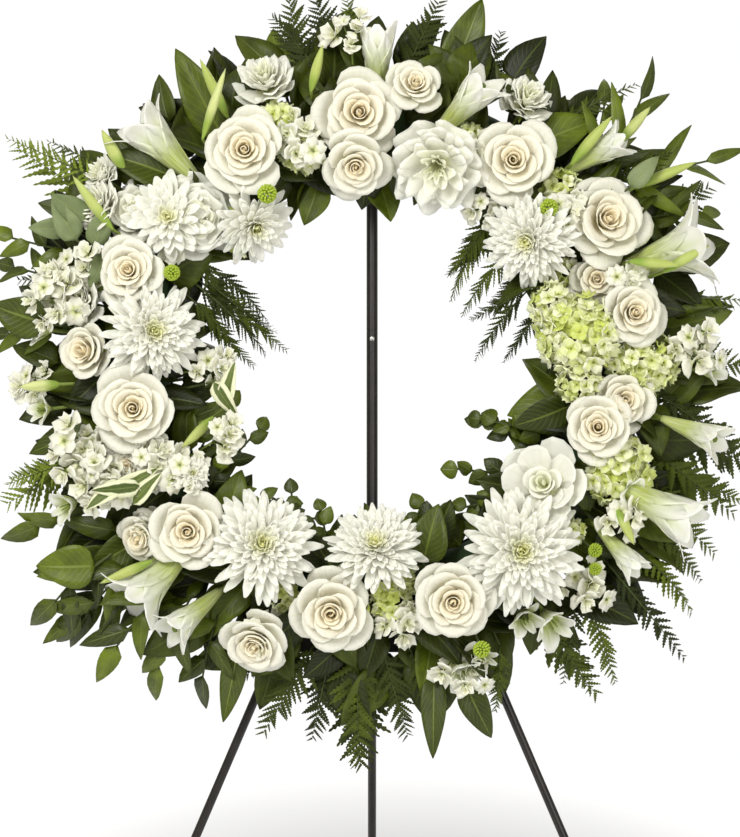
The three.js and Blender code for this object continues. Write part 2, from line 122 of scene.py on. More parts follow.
dress(easel_enamel(), "mast_lower_tube", "mast_upper_tube", "wreath_hook", "yoke",
      "left_front_leg", "right_front_leg", "rear_leg")

# ---- Rivets, hinge pin, hook nut and hanging wire ----
# Bright zinc-plated steel: the rivets are headed over in place, and the wire loop is pushed into the foam.


def zinc_plate():
    material, tree, shader = new_finish("zinc_plate")
    patches = object_noise(tree, 260, 3)
    colour = colour_ramp(tree, patches, [(0.35, (0.42, 0.41, 0.39)), (0.7, (0.68, 0.67, 0.64))])
    tree.links.new(colour, shader.inputs["Base Color"])
    tree.links.new(spread_value(tree, patches, 0.2, 0.42), shader.inputs["Roughness"])
    shader.inputs["Metallic"].default_value = 1.0
    return material


dress(zinc_plate(), "mast_joint_rivet", "mast_rivet", "left_pivot_rivet", "right_pivot_rivet",
      "rear_hinge_pin", "hook_nut", "hanging_loop")

# ---- Rubber feet and mast cap ----
# Moulded black rubber ferrules pushed on the tube ends, dull and a little dusty where they meet the floor.


def moulded_rubber():
    material, tree, shader = new_finish("moulded_rubber")
    dust = object_noise(tree, 160, 4)
    colour = colour_ramp(tree, dust, [(0.4, (0.012, 0.012, 0.012)), (0.8, (0.045, 0.043, 0.04))])
    tree.links.new(colour, shader.inputs["Base Color"])
    tree.links.new(spread_value(tree, dust, 0.62, 0.85), shader.inputs["Roughness"])
    add_bump(tree, shader, object_noise(tree, 1400), 0.2, 0.0004)
    return material


dress(moulded_rubber(), "left_front_foot", "right_front_foot", "rear_foot", "mast_cap")

# ---- Tray ring ----
# A moulded green plastic channel that holds the foam and keeps the water off the easel.
# Its back is flat, and its two rims stand up round the foam.

lean = next(j for j in frame["joints"] if j["name"] == "right_leg_fold")
back = Vector(lean["axis"])
across = Vector((1, 0, 0))
rise = across.cross(back)
low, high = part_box("foam_ring")
ring_centre = (low + high) / 2
# Wreath directions: X to the right, Y up the mast line, Z towards the viewer, from the middle of the ring.
wreath = Matrix((across, rise, -back)).transposed().to_4x4()
wreath.translation = ring_centre
to_wreath = wreath.inverted()
CORE_RADIUS = 0.245
FOAM_HALF_WIDTH = 0.035
FOAM_HALF_DEPTH = 0.025
GAP = 0.0003
RING_STEPS = 120
ROOT_BODY = "mast_and_wreath"


def mesh_from(bm, name):
    mesh = bpy.data.meshes.new(name)
    bm.to_mesh(mesh)
    bm.free()
    return mesh


def piece(name, bm, materials, stands_for=()):
    """Makes a finished piece from a bmesh in wreath directions. Its object stays at the origin."""
    bm.transform(wreath)
    mesh = mesh_from(bm, name)
    for material in materials:
        mesh.materials.append(material)
    mesh.shade_smooth()
    made = bpy.data.objects.new(name, mesh)
    scene.collection.objects.link(made)
    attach(made, ROOT_BODY)
    if stands_for:
        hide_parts(*stands_for)
    return made


def ring_of(section):
    """Carries a closed section of (radius, forward) points round the wreath's middle."""
    bm = bmesh.new()
    rings = []
    for k in range(RING_STEPS):
        turn = Matrix.Rotation(math.tau * k / RING_STEPS, 3, "Z")
        rings.append([bm.verts.new(turn @ Vector((radius, 0, forward))) for radius, forward in section])
    for here, after in zip(rings, rings[1:] + rings[:1]):
        for i in range(len(section)):
            bm.faces.new((here[i - 1], here[i], after[i], after[i - 1]))
    bmesh.ops.recalc_face_normals(bm, faces=bm.faces)
    return bm


def green_plastic_painted_shade():
    material, tree, shader = new_finish("green_plastic_painted_shade")
    cloud = object_noise(tree, 22, 3)
    # Dark green, partly the plastic's own colour and partly painted shade, so that the tray reads as shadow
    # where it shows between the flowers.
    colour = colour_ramp(tree, cloud, [(0.3, (0.007, 0.018, 0.005)), (0.75, (0.014, 0.034, 0.010))])
    tree.links.new(colour, shader.inputs["Base Color"])
    tree.links.new(spread_value(tree, cloud, 0.36, 0.52), shader.inputs["Roughness"])
    add_bump(tree, shader, object_noise(tree, 700), 0.1, 0.0005)
    return material


tray_inner = CORE_RADIUS - FOAM_HALF_WIDTH - GAP
tray_outer = CORE_RADIUS + FOAM_HALF_WIDTH + GAP
tray_floor = -FOAM_HALF_DEPTH - GAP
TRAY_WALL = 0.002
TRAY_RIM = 0.012
TRAY_ROUNDING = 0.0006
tray = ring_of([
    (tray_inner - TRAY_WALL, tray_floor - TRAY_WALL), (tray_outer + TRAY_WALL, tray_floor - TRAY_WALL),
    (tray_outer + TRAY_WALL, tray_floor + TRAY_RIM), (tray_outer, tray_floor + TRAY_RIM),
    (tray_outer, tray_floor), (tray_inner, tray_floor),
    (tray_inner, tray_floor + TRAY_RIM), (tray_inner - TRAY_WALL, tray_floor + TRAY_RIM),
])
tray_piece = piece("tray_ring_moulding", tray, [green_plastic_painted_shade()], ["tray_ring"])
rounding = tray_piece.modifiers.new("rounding", "BEVEL")
rounding.width = TRAY_ROUNDING
rounding.segments = 2

# ---- Foam ring ----
# Green flower foam, cut with bevelled shoulders. Its dark green is partly the colour of wet foam and partly
# painted shade, so that it reads as shadow where it shows between the flowers. It is soft, open-celled and
# crumbles where stems go in.


def flower_foam_painted_shade():
    material, tree, shader = new_finish("flower_foam_painted_shade")
    wet = object_noise(tree, 30, 5)
    # Partly painted shade: the foam's colours are kept dark, so that it reads as shadow between the flowers.
    colour = colour_ramp(tree, wet, [(0.3, (0.010, 0.024, 0.006)), (0.7, (0.030, 0.060, 0.016))])
    tree.links.new(colour, shader.inputs["Base Color"])
    shader.inputs["Roughness"].default_value = 0.95
    add_bump(tree, shader, object_noise(tree, 1100, 4), 0.6, 0.0012)
    return material


SHOULDER = 0.014
half_shoulder = SHOULDER * 0.35
inner = CORE_RADIUS - FOAM_HALF_WIDTH
outer = CORE_RADIUS + FOAM_HALF_WIDTH
foam = ring_of([
    (inner, -FOAM_HALF_DEPTH), (outer, -FOAM_HALF_DEPTH), (outer, FOAM_HALF_DEPTH - SHOULDER),
    (outer - half_shoulder, FOAM_HALF_DEPTH - half_shoulder), (outer - SHOULDER, FOAM_HALF_DEPTH),
    (inner + SHOULDER, FOAM_HALF_DEPTH), (inner + half_shoulder, FOAM_HALF_DEPTH - half_shoulder),
    (inner, FOAM_HALF_DEPTH - SHOULDER),
])
piece("foam_ring_block", foam, [flower_foam_painted_shade()], ["foam_ring"])

# ---- Salal leaves ----
# Broad leathery leaves, glossy dark green above and paler below, with a sunk midrib and side veins.
# They are pushed in on short stems to hide the foam, and the larger ones fan out past the flowers.


def on_ring(clock, radius, forward=0.0):
    """A place on the wreath: clock in degrees from the top, clockwise from the front."""
    angle = math.radians(clock)
    return Vector((radius * math.sin(angle), radius * math.cos(angle), forward))


def heading(clock, forward=0.0):
    return Vector((math.sin(math.radians(clock)), math.cos(math.radians(clock)), forward)).normalized()


def lay(point, direction, face=Vector((0, 0, 1)), roll=0.0):
    """Stands a shape that grows along Y with its face to Z at a point, along a direction."""
    y = direction.normalized()
    x = y.cross(face).normalized()
    z = x.cross(y)
    turn = Matrix((x, y, z)).transposed().to_4x4()
    turn.translation = point
    return turn @ Matrix.Rotation(roll, 4, "Y")


scratch = bpy.data.meshes.new("scratch")
# The finishes of a plant piece, in order: its petals or leaves, its stems, and the eyes of its flowers.
SKIN = 0
STEM = 1
EYE = 2


def start_plant():
    """A bmesh with the layers that every plant piece has: a petal UV map and a tint."""
    bm = bmesh.new()
    bm.loops.layers.uv.new("petal")
    bm.verts.layers.float.new("tint")
    return bm


def add_part(bm, part, finish=SKIN):
    """Moves one part, all in one finish, into the plant that it belongs to."""
    for face in part.faces:
        face.material_index = finish
    part.to_mesh(scratch)
    part.free()
    bm.from_mesh(scratch)


def add_sheet(bm, shape, across, along, place=Matrix(), tint=0.0, finish=SKIN):
    """Adds one petal or leaf: shape turns u (-1 to 1 across) and v (0 to 1 along) into a point."""
    sheet = start_plant()
    bmesh.ops.create_grid(sheet, x_segments=across, y_segments=along, size=1.0, calc_uvs=True)
    layer = sheet.verts.layers.float["tint"]
    for vert in sheet.verts:
        vert[layer] = tint
        vert.co = shape(vert.co.x, (vert.co.y + 1) / 2)
    sheet.transform(place)
    add_part(bm, sheet, finish)


def add_stem(bm, start, end, radius, tip_radius=None, segments=6, finish=STEM):
    """A round stem from one point to another."""
    stem = start_plant()
    length = (end - start).length
    bmesh.ops.create_cone(stem, cap_ends=True, segments=segments, radius1=radius,
                          radius2=radius if tip_radius is None else tip_radius, depth=length)
    stem.transform(Matrix.Translation((0, 0, length / 2)))
    turn = (end - start).to_track_quat("Z", "Y").to_matrix().to_4x4()
    stem.transform(Matrix.Translation(start) @ turn)
    add_part(bm, stem, finish)


def stem_foot(clock, radius, outermost=0.262, forward=0.0):
    """Where a stem comes out of the foam, below a place on the wreath."""
    return on_ring(clock, min(max(radius, 0.225), outermost), forward)


def ovate(v, point=0.62):
    """Half width of a leaf from its base to its tip, 1 at its widest."""
    return max(0.0, math.sin(math.pi * v ** point)) ** 0.8


def arch(length, bend, v):
    """How far along and up a leaf or stem has come at v, when it droops through an angle of bend."""
    return length * math.sin(bend * v) / bend, -length * (1 - math.cos(bend * v)) / bend


def add_leaf(bm, place, length, width, rand, fold=0.3, droop=0.5, point=0.62, steps=(4, 8), finish=SKIN):
    phase = rand.uniform(0, 6)
    wave = rand.uniform(0.02, 0.07)
    twist = rand.uniform(-0.25, 0.25)
    bend = droop * rand.uniform(0.5, 1.5) + 1e-3

    def shape(u, v):
        half = 0.5 * width * ovate(v, point) + 0.0004
        x = u * half
        y, z = arch(length, bend, v)
        z += fold * abs(x) + wave * width * abs(u) * math.sin(7 * v + phase) + twist * x * v
        return Vector((x, y, z))

    add_sheet(bm, shape, steps[0], steps[1], place, rand.random(), finish)


def uv_parts(tree):
    uv = tree.nodes.new("ShaderNodeUVMap")
    uv.uv_map = "petal"
    parts = tree.nodes.new("ShaderNodeSeparateXYZ")
    tree.links.new(uv.outputs["UV"], parts.inputs["Vector"])
    return parts.outputs["X"], parts.outputs["Y"]


def arithmetic(tree, operation, first, second=None):
    node = tree.nodes.new("ShaderNodeMath")
    node.operation = operation
    for socket, value in zip(node.inputs, (first, second)):
        if value is None:
            continue
        if isinstance(value, (int, float)):
            socket.default_value = value
        else:
            tree.links.new(value, socket)
    return node.outputs["Value"]


def mixed(tree, amount, first, second):
    mix = tree.nodes.new("ShaderNodeMix")
    mix.data_type = "RGBA"
    colours = [s for s in mix.inputs if s.type == "RGBA"]
    for socket, value in zip(colours, (first, second)):
        if isinstance(value, tuple):
            socket.default_value = (*value, 1)
        else:
            tree.links.new(value, socket)
    tree.links.new(amount, mix.inputs["Factor"])
    return next(s for s in mix.outputs if s.type == "RGBA")


def tint_of(tree):
    tint = tree.nodes.new("ShaderNodeAttribute")
    tint.attribute_name = "tint"
    return tint.outputs["Fac"]


def leaf_finish(name, dark, bright, vein, roughness, gloss, veins=9.0, edge=None):
    """Leaf skin: colour varies from leaf to leaf, with a pale midrib and sunk side veins."""
    material, tree, shader = new_finish(name)
    u, v = uv_parts(tree)
    from_rib = arithmetic(tree, "ABSOLUTE", arithmetic(tree, "SUBTRACT", u, 0.5))
    slant = arithmetic(tree, "SUBTRACT", v, arithmetic(tree, "MULTIPLY", from_rib, 0.7))
    side_veins = arithmetic(tree, "SINE", arithmetic(tree, "MULTIPLY", slant, veins * math.tau))
    side_veins = arithmetic(tree, "POWER", arithmetic(tree, "MAXIMUM", side_veins, 0.0), 6.0)
    rib = spread_value(tree, from_rib, 1.0, 0.0, 0.0, 0.045)
    cloud = object_noise(tree, 55, 3)
    skin = mixed(tree, tint_of(tree), dark, bright)
    skin = mixed(tree, spread_value(tree, cloud, 0.0, 0.6, 0.35, 0.7), skin, dark)
    marks = arithmetic(tree, "MAXIMUM", rib, arithmetic(tree, "MULTIPLY", side_veins, 0.3))
    skin = mixed(tree, arithmetic(tree, "MULTIPLY", marks, 0.7), skin, vein)
    if edge:
        ragged = arithmetic(tree, "ADD", from_rib, arithmetic(tree, "MULTIPLY", cloud, 0.30))
        skin = mixed(tree, spread_value(tree, ragged, 0.0, 1.0, 0.38, 0.44), skin, edge)
    tree.links.new(skin, shader.inputs["Base Color"])
    tree.links.new(spread_value(tree, cloud, roughness, roughness + 0.16), shader.inputs["Roughness"])
    add_bump(tree, shader, arithmetic(tree, "MULTIPLY", marks, -1.0), 0.35, 0.0012)
    shader.inputs["Specular IOR Level"].default_value = gloss
    shader.inputs["Subsurface Weight"].default_value = 0.08
    shader.inputs["Subsurface Radius"].default_value = (0.002, 0.004, 0.001)
    return material


def thicken(made, thickness):
    """Leaves and petals have a real thickness."""
    wall = made.modifiers.new("thickness", "SOLIDIFY")
    wall.thickness = thickness
    wall.offset = 0.0
    return made


LEAF_THICKNESS = 0.0005
salal_skin = leaf_finish("salal_skin", (0.019, 0.026, 0.002), (0.130, 0.178, 0.007), (0.20, 0.25, 0.04),
                         0.33, 0.30)
# Painted shade: a darker copy of the salal skin for the leaves that lie deep between the flowers.
painted_shade_bed_skin = leaf_finish("painted_shade_bed_skin", (0.009, 0.012, 0.001), (0.080, 0.106, 0.005), (0.10, 0.13, 0.02),
                       0.36, 0.25)
stem_skin = leaf_finish("stem_skin", (0.05, 0.07, 0.01), (0.10, 0.13, 0.02), (0.08, 0.1, 0.02), 0.5, 0.4)

# Each named leaf: base clock and radius, the way it points, length, width, how far forward its base is.
SALAL_FAN = [
    (326, 0.272, 331, 0.108, 0.042, 0.030), (313, 0.262, 302, 0.085, 0.050, 0.020),
    (342, 0.285, 342, 0.078, 0.040, 0.012), (354, 0.262, 349, 0.052, 0.044, 0.020),
    (36, 0.262, 62, 0.085, 0.052, 0.030), (42, 0.275, 74, 0.080, 0.046, 0.012),
    (297, 0.305, 291, 0.074, 0.036, 0.030), (278, 0.300, 280, 0.078, 0.040, 0.010),
    (271, 0.300, 255, 0.066, 0.030, 0.010), (255, 0.280, 259, 0.086, 0.040, 0.030),
    (252, 0.272, 246, 0.060, 0.034, 0.020), (232, 0.328, 254, 0.092, 0.042, 0.010),
    (232, 0.300, 238, 0.062, 0.036, 0.030), (343, 0.190, 198, 0.046, 0.034, 0.010),
    (2, 0.186, 161, 0.046, 0.036, 0.010), (188, 0.225, 319, 0.052, 0.036, 0.040),
    (166, 0.215, 12, 0.062, 0.042, 0.045), (163, 0.200, 30, 0.052, 0.034, 0.030),
    (100, 0.215, 258, 0.078, 0.046, 0.030), (104, 0.205, 245, 0.060, 0.040, 0.045),
    (168, 0.290, 186, 0.058, 0.036, 0.020), (169, 0.330, 181, 0.084, 0.026, 0.020),
    (164, 0.345, 156, 0.064, 0.030, 0.014), (205, 0.325, 188, 0.078, 0.026, 0.020),
    (196, 0.290, 222, 0.066, 0.038, 0.020), (120, 0.300, 118, 0.080, 0.042, 0.016),
    (84, 0.300, 78, 0.076, 0.038, 0.012), (60, 0.300, 66, 0.078, 0.034, 0.010),
    (222, 0.225, 20, 0.056, 0.036, 0.040), (248, 0.205, 60, 0.060, 0.036, 0.030),
    (212, 0.272, 206, 0.066, 0.038, 0.016), (219, 0.280, 232, 0.062, 0.038, 0.012),
    (205, 0.282, 188, 0.062, 0.036, 0.010), (128, 0.262, 118, 0.062, 0.038, 0.016),
    (214, 0.290, 196, 0.060, 0.034, 0.006), (209, 0.262, 222, 0.060, 0.036, 0.022),
    (276, 0.334, 284, 0.060, 0.044, 0.052), (233, 0.352, 268, 0.062, 0.044, 0.046),
    (312, 0.276, 292, 0.070, 0.042, 0.050), (284, 0.300, 262, 0.060, 0.038, 0.020),
    (264, 0.196, 96, 0.056, 0.030, 0.016), (259, 0.200, 70, 0.050, 0.028, 0.012),
]


def salal_fan():
    bm = start_plant()
    rand = random.Random(11)
    for clock, radius, points, length, width, forward in SALAL_FAN:
        base = on_ring(clock, radius, forward)
        tip_way = heading(points, 0.25)
        face = (Vector((0, 0, 1)) + heading(clock) * 0.25).normalized()
        place = lay(base, tip_way, face, rand.uniform(-0.35, 0.35))
        add_leaf(bm, place, length, width, rand, 0.28, 0.55, steps=(6, 12))
        add_stem(bm, stem_foot(clock, radius, 0.265), base, 0.0016)
    return bm


thicken(piece("salal_fan_leaves", salal_fan(), [salal_skin, stem_skin]), LEAF_THICKNESS)


def salal_bed():
    """Leaves packed close over the foam, in a darker copy of the salal skin as painted shade, so that dark
    green shows between the flowers.
    """
    bm = start_plant()
    rand = random.Random(12)
    # Each row: radius, how many leaves, the way they turn from straight out, and how far forward.
    rows = [(0.212, 44, 180, 0.018), (0.220, 36, 150, 0.030), (0.240, 44, 20, 0.038), (0.262, 46, 0, 0.034),
            (0.285, 50, 0, 0.020), (0.300, 44, 0, 0.004), (0.312, 44, 5, 0.012)]
    for radius, count, turn, forward in rows:
        for k in range(count):
            clock = 360 * (k + rand.uniform(-0.3, 0.3)) / count
            inward = turn == 180
            points = clock + turn + rand.uniform(-70, 70) * (0.6 if turn == 5 else 1.0)
            base = on_ring(clock, radius + rand.uniform(-0.01, 0.01), forward + rand.uniform(-0.01, 0.012))
            tip_way = heading(points, rand.uniform(-0.05, 0.40))
            length = rand.uniform(0.05, 0.075) * (0.75 if inward else 1.0)
            face = Vector((rand.uniform(-0.3, 0.3), rand.uniform(-0.1, 0.5), 1)).normalized()
            place = lay(base, tip_way, face, rand.uniform(-0.6, 0.6))
            add_leaf(bm, place, length, length * rand.uniform(0.5, 0.66), rand, 0.3, 0.6, steps=(4, 7))
    return bm


thicken(piece("salal_bed_leaves", salal_bed(), [painted_shade_bed_skin]), LEAF_THICKNESS)

# ---- Leatherleaf fern ----
# Dark, dry, triangular fronds: a wiry midrib with paired side ribs, each edged with small blunt leaflets.

fern_skin = leaf_finish("fern_skin", (0.015, 0.021, 0.002), (0.125, 0.170, 0.009), (0.08, 0.10, 0.02),
                        0.5, 0.2, 3.0)
young_fern_skin = leaf_finish("young_fern_skin", (0.07, 0.10, 0.006), (0.21, 0.28, 0.03), (0.12, 0.16, 0.03),
                              0.5, 0.2, 3.0)


def copy_shape(bm, mesh, place, tint):
    """Adds a copy of a small mesh."""
    verts_before = len(bm.verts)
    bm.from_mesh(mesh)
    bm.verts.ensure_lookup_table()
    fresh = bm.verts[verts_before:]
    bmesh.ops.transform(bm, matrix=place, verts=fresh)
    layer = bm.verts.layers.float["tint"]
    for vert in fresh:
        vert[layer] = tint


def side_rib_mesh(width, teeth):
    """A unit side rib along Y: a narrow tapering blade, cut along both edges into small blunt lobes."""
    bm = start_plant()
    rows = 2 * teeth

    def shape(u, v):
        row = round(v * rows)
        lobe = 1.0 if row % 2 else 0.42
        half = 0.5 * width * lobe * (1 - v ** 1.6) ** 0.7 + 0.006
        return Vector((u * half, v + 0.35 * half * abs(u) * (row % 2), -0.10 * abs(u) * half / width))

    add_sheet(bm, shape, 2, rows)
    return mesh_from(bm, "side_rib")


fern_rib = side_rib_mesh(0.30, 7)
sword_rib = side_rib_mesh(0.20, 5)
plumosus_rib = side_rib_mesh(0.36, 5)
fine_rib = side_rib_mesh(0.20, 6)
MIDRIB_RADIUS = 0.0011


def add_frond(bm, point, direction, length, width, rand, droop, pairs, rib, face=Vector((0, 0, 1)),
              lean_in=56, start=0.12):
    """A frond: side ribs in pairs along a midrib that arches over under its own weight."""
    bend = droop * rand.uniform(0.7, 1.3) + 1e-3
    place = lay(point, direction, face, rand.uniform(-0.35, 0.35))
    tint = rand.random()

    def on_midrib(v):
        return Vector((0, *arch(length, bend, v)))

    for k in range(pairs):
        v = start + (1 - start) * (k + 0.5) / pairs
        reach = 0.5 * width * (math.sin(math.pi * min(1.0, 0.30 + 0.62 * v)) ** 0.9)
        for hand in (-1, 1):
            angle = math.radians(lean_in - 16 * v) + rand.uniform(-0.20, 0.20)
            long = reach * rand.uniform(0.82, 1.10)
            tilt = Matrix.Rotation(-bend * v, 4, "X")
            turn = Matrix.Rotation(-hand * angle, 4, "Z") @ Matrix.Rotation(rand.uniform(-0.3, 0.3), 4, "Y")
            at = Matrix.Translation(on_midrib(v + 0.01 * hand))
            sag = Matrix.Rotation(-0.1 - 0.45 * rand.random(), 4, "X")
            copy_shape(bm, rib, place @ at @ tilt @ turn @ sag @ Matrix.Scale(long, 4), tint)
    steps = 6
    for k in range(steps):
        from_here = k / steps
        to_here = (k + 1) / steps
        add_stem(bm, place @ on_midrib(from_here), place @ on_midrib(to_here),
                 MIDRIB_RADIUS * (1.1 - from_here), MIDRIB_RADIUS * (1.1 - to_here), segments=4)


def node_points(node):
    return [to_wreath @ vert.co for vert in frame["nodes"][node].data.vertices]


def from_core(point):
    """How far a point is from the foam's core circle."""
    return math.hypot(math.hypot(point.x, point.y) - CORE_RADIUS, point.z)


def stem_line(node):
    """The foot of a plant's stem in the foam, the way it grows, its reach and its greatest half width."""
    points = node_points(node)
    nearest = min(from_core(p) for p in points)
    foot_points = [p for p in points if from_core(p) < nearest + 0.0012]
    foot = sum(foot_points, Vector()) / len(foot_points)
    far = max((p - foot).length for p in points)
    head = [p for p in points if (p - foot).length > 0.45 * far]
    way = (sum(head, Vector()) / len(head) - foot).normalized()
    reach = max((p - foot).dot(way) for p in points)
    spread = max(((p - foot) - way * (p - foot).dot(way)).length for p in points)
    return foot, way, reach, spread


def fern_piece(name, bm, young=False, stands_for=()):
    piece(name, bm, [young_fern_skin if young else fern_skin, stem_skin], stands_for)


def cad_frond(node, rib, broad, pairs, young=False):
    """The frond that a foliage node stands for, and how broad it is for the node's width."""
    bm = start_plant()
    rand = random.Random(node)
    foot, way, reach, spread = stem_line(node)
    start = foot + way * 0.006
    add_stem(bm, foot, start + way * 0.03, 0.0014)
    add_frond(bm, start, way, reach - 0.004, spread * broad, rand, 0.12, pairs, rib)
    fern_piece(node + "_frond", bm, young, [node])


for node in ("fern_upper_left", "fern_left"):
    cad_frond(node, sword_rib, 1.9, 17, young=True)
for node in ("fern_bottom", "fern_right", "fern_right_high", "fern_top_left"):
    cad_frond(node, fern_rib, 1.9, 17)

# Each loose frond: base clock and radius, the way it points, length, width, forward.
LOOSE_FRONDS = {
    "top": [(355, 0.285, 338, 0.095, 0.060, 0.020), (5, 0.285, 27, 0.095, 0.062, 0.020),
            (352, 0.290, 321, 0.085, 0.055, 0.020), (358, 0.290, 350, 0.080, 0.050, 0.024),
            (36, 0.305, 63, 0.092, 0.042, 0.025), (24, 0.290, 12, 0.075, 0.045, 0.010)],
    "right": [(52, 0.285, 62, 0.085, 0.050, 0.030), (95, 0.288, 126, 0.105, 0.062, 0.020),
              (106, 0.300, 134, 0.105, 0.064, 0.020), (113, 0.310, 143, 0.100, 0.056, 0.016),
              (88, 0.295, 104, 0.095, 0.060, 0.014), (78, 0.300, 84, 0.080, 0.050, 0.012)],
    "bottom": [(190, 0.300, 213, 0.098, 0.060, 0.024), (184, 0.300, 173, 0.110, 0.066, 0.022),
               (179, 0.300, 161, 0.088, 0.058, 0.022), (187, 0.290, 198, 0.100, 0.060, 0.018),
               (194, 0.300, 236, 0.070, 0.044, 0.018), (174, 0.300, 150, 0.070, 0.050, 0.018)],
    "left": [(250, 0.300, 262, 0.086, 0.052, 0.022), (254, 0.295, 240, 0.082, 0.050, 0.018),
             (285, 0.290, 282, 0.080, 0.046, 0.014), (306, 0.315, 306, 0.084, 0.040, 0.018),
             (264, 0.290, 272, 0.078, 0.050, 0.014)],
    "young_left": [(304, 0.325, 297, 0.108, 0.048, 0.034), (250, 0.318, 262, 0.070, 0.048, 0.034)],
    "inner_left": [(296, 0.192, 133, 0.120, 0.050, 0.018), (291, 0.184, 148, 0.088, 0.044, 0.026),
                   (300, 0.190, 120, 0.090, 0.040, 0.014), (288, 0.190, 160, 0.080, 0.040, 0.014),
                   (294, 0.196, 126, 0.100, 0.044, 0.030), (298, 0.194, 140, 0.104, 0.042, 0.024),
                   (290, 0.192, 128, 0.074, 0.046, 0.034), (302, 0.196, 150, 0.066, 0.044, 0.030)],
    "inner_right": [(42, 0.185, 226, 0.088, 0.044, 0.020), (62, 0.162, 219, 0.086, 0.040, 0.020),
                    (52, 0.175, 236, 0.078, 0.044, 0.014), (68, 0.170, 205, 0.066, 0.036, 0.020),
                    (46, 0.190, 238, 0.072, 0.044, 0.026), (64, 0.172, 228, 0.070, 0.042, 0.026),
                    (40, 0.190, 214, 0.070, 0.044, 0.028), (58, 0.180, 212, 0.060, 0.040, 0.030)],
}


def loose_fronds(area, rows, seed):
    bm = start_plant()
    rand = random.Random(seed)
    young = area == "young_left"
    # The sprays that hang into the ring are finer and droop more, with closer side ribs.
    fine = area.startswith("inner")
    rib = fine_rib if fine else sword_rib if young else fern_rib
    droop = 1.1 if fine else 0.5
    pairs = 20 if fine else 15
    lean_in = 40 if fine else 56
    for clock, radius, points, length, width, forward in rows:
        point = on_ring(clock, min(max(radius, 0.216), 0.275), forward)
        far = on_ring(clock, radius, forward) + heading(points) * length
        reach = (far - point).length
        way = far - point + Vector((0, 0, 0.2 * reach))
        start = max(0.15, 1 - 0.95 * length / reach)
        add_frond(bm, point, way, reach * 1.06, width, rand, droop, pairs, rib, Vector((0, 0.15, 1)),
                  lean_in, start)
    fern_piece("fern_" + area + "_sprays", bm, young)


for number, (area, rows) in enumerate(LOOSE_FRONDS.items()):
    loose_fronds(area, rows, 30 + number)

# ---- Roses ----
# Large creamy-white roses, fully open: spiralled petals with rolled-back edges round a tight heart of warm
# peach. Each stands on its own green calyx and stem, which is pushed into the foam.


def petal_finish(name, white, heart, base, warmth=1.0, veins=34.0, roughness=0.5, scatter=0.12, rib=False,
                 foot_end=0.42):
    """Petal skin: white, warmer towards the flower's heart and at the petal's foot, with fine veins."""
    material, tree, shader = new_finish(name)
    u, v = uv_parts(tree)
    place = tree.nodes.new("ShaderNodeCombineXYZ")
    tree.links.new(arithmetic(tree, "MULTIPLY", u, veins), place.inputs["X"])
    tree.links.new(arithmetic(tree, "MULTIPLY", v, 2.2), place.inputs["Y"])
    tree.links.new(arithmetic(tree, "MULTIPLY", tint_of(tree), 40.0), place.inputs["Z"])
    grain = tree.nodes.new("ShaderNodeTexNoise")
    grain.inputs["Scale"].default_value = 1.0
    grain.inputs["Detail"].default_value = 3.0
    tree.links.new(place.outputs["Vector"], grain.inputs["Vector"])
    warm = arithmetic(tree, "MULTIPLY", arithmetic(tree, "POWER", tint_of(tree), 1.6), warmth)
    skin = mixed(tree, warm, white, heart)
    foot = arithmetic(tree, "MINIMUM", spread_value(tree, v, 2.0, 0.0, 0.0, foot_end), 0.95)
    if rib:
        from_rib = arithmetic(tree, "ABSOLUTE", arithmetic(tree, "SUBTRACT", u, 0.5))
        stripe = arithmetic(tree, "MULTIPLY", spread_value(tree, from_rib, 1.0, 0.0, 0.02, 0.24),
                            spread_value(tree, v, 0.9, 0.0, 0.50, 0.96))
        foot = arithmetic(tree, "MAXIMUM", foot, stripe)
    skin = mixed(tree, foot, skin, base)
    shade = tuple(fade * part for fade, part in zip((0.88, 0.88, 0.78), white))
    skin = mixed(tree, spread_value(tree, grain.outputs["Fac"], 0.45, 0.0, 0.35, 0.6), skin, shade)
    tree.links.new(skin, shader.inputs["Base Color"])
    tree.links.new(spread_value(tree, grain.outputs["Fac"], roughness - 0.06, roughness + 0.12),
                   shader.inputs["Roughness"])
    add_bump(tree, shader, grain.outputs["Fac"], 0.35, 0.0006)
    shader.inputs["Specular IOR Level"].default_value = 0.3
    shader.inputs["Subsurface Weight"].default_value = scatter
    shader.inputs["Subsurface Radius"].default_value = (1.0, 0.97, 0.90)
    shader.inputs["Subsurface Scale"].default_value = 0.008
    shader.inputs["Sheen Weight"].default_value = 0.12
    shader.inputs["Sheen Roughness"].default_value = 0.5
    return material


rose_petal = petal_finish("rose_petal", (0.935, 0.915, 0.785), (0.99, 0.80, 0.45), (0.94, 0.84, 0.48), 0.95,
                          scatter=0.35)
calyx_skin = leaf_finish("calyx_skin", (0.12, 0.17, 0.02), (0.32, 0.38, 0.05), (0.34, 0.40, 0.08),
                         0.45, 0.4, 2.0)
GOLDEN_ANGLE = math.radians(137.508)
PETAL_THICKNESS = 0.0004


def rib_place(v, length, flare, lean, curl, curl_start=0.52):
    """How far out and up a petal's rib has come at v, as its angle from the flower's axis changes."""
    out = 0.0
    up = 0.0
    steps = 9
    for k in range(steps):
        q = v * (k + 0.5) / steps
        angle = flare * (1 - q) ** 2 + lean + curl * max(0.0, (q - curl_start) / (1 - curl_start)) ** 1.5
        out += math.sin(angle) * length * v / steps
        up += math.cos(angle) * length * v / steps
    return out, up


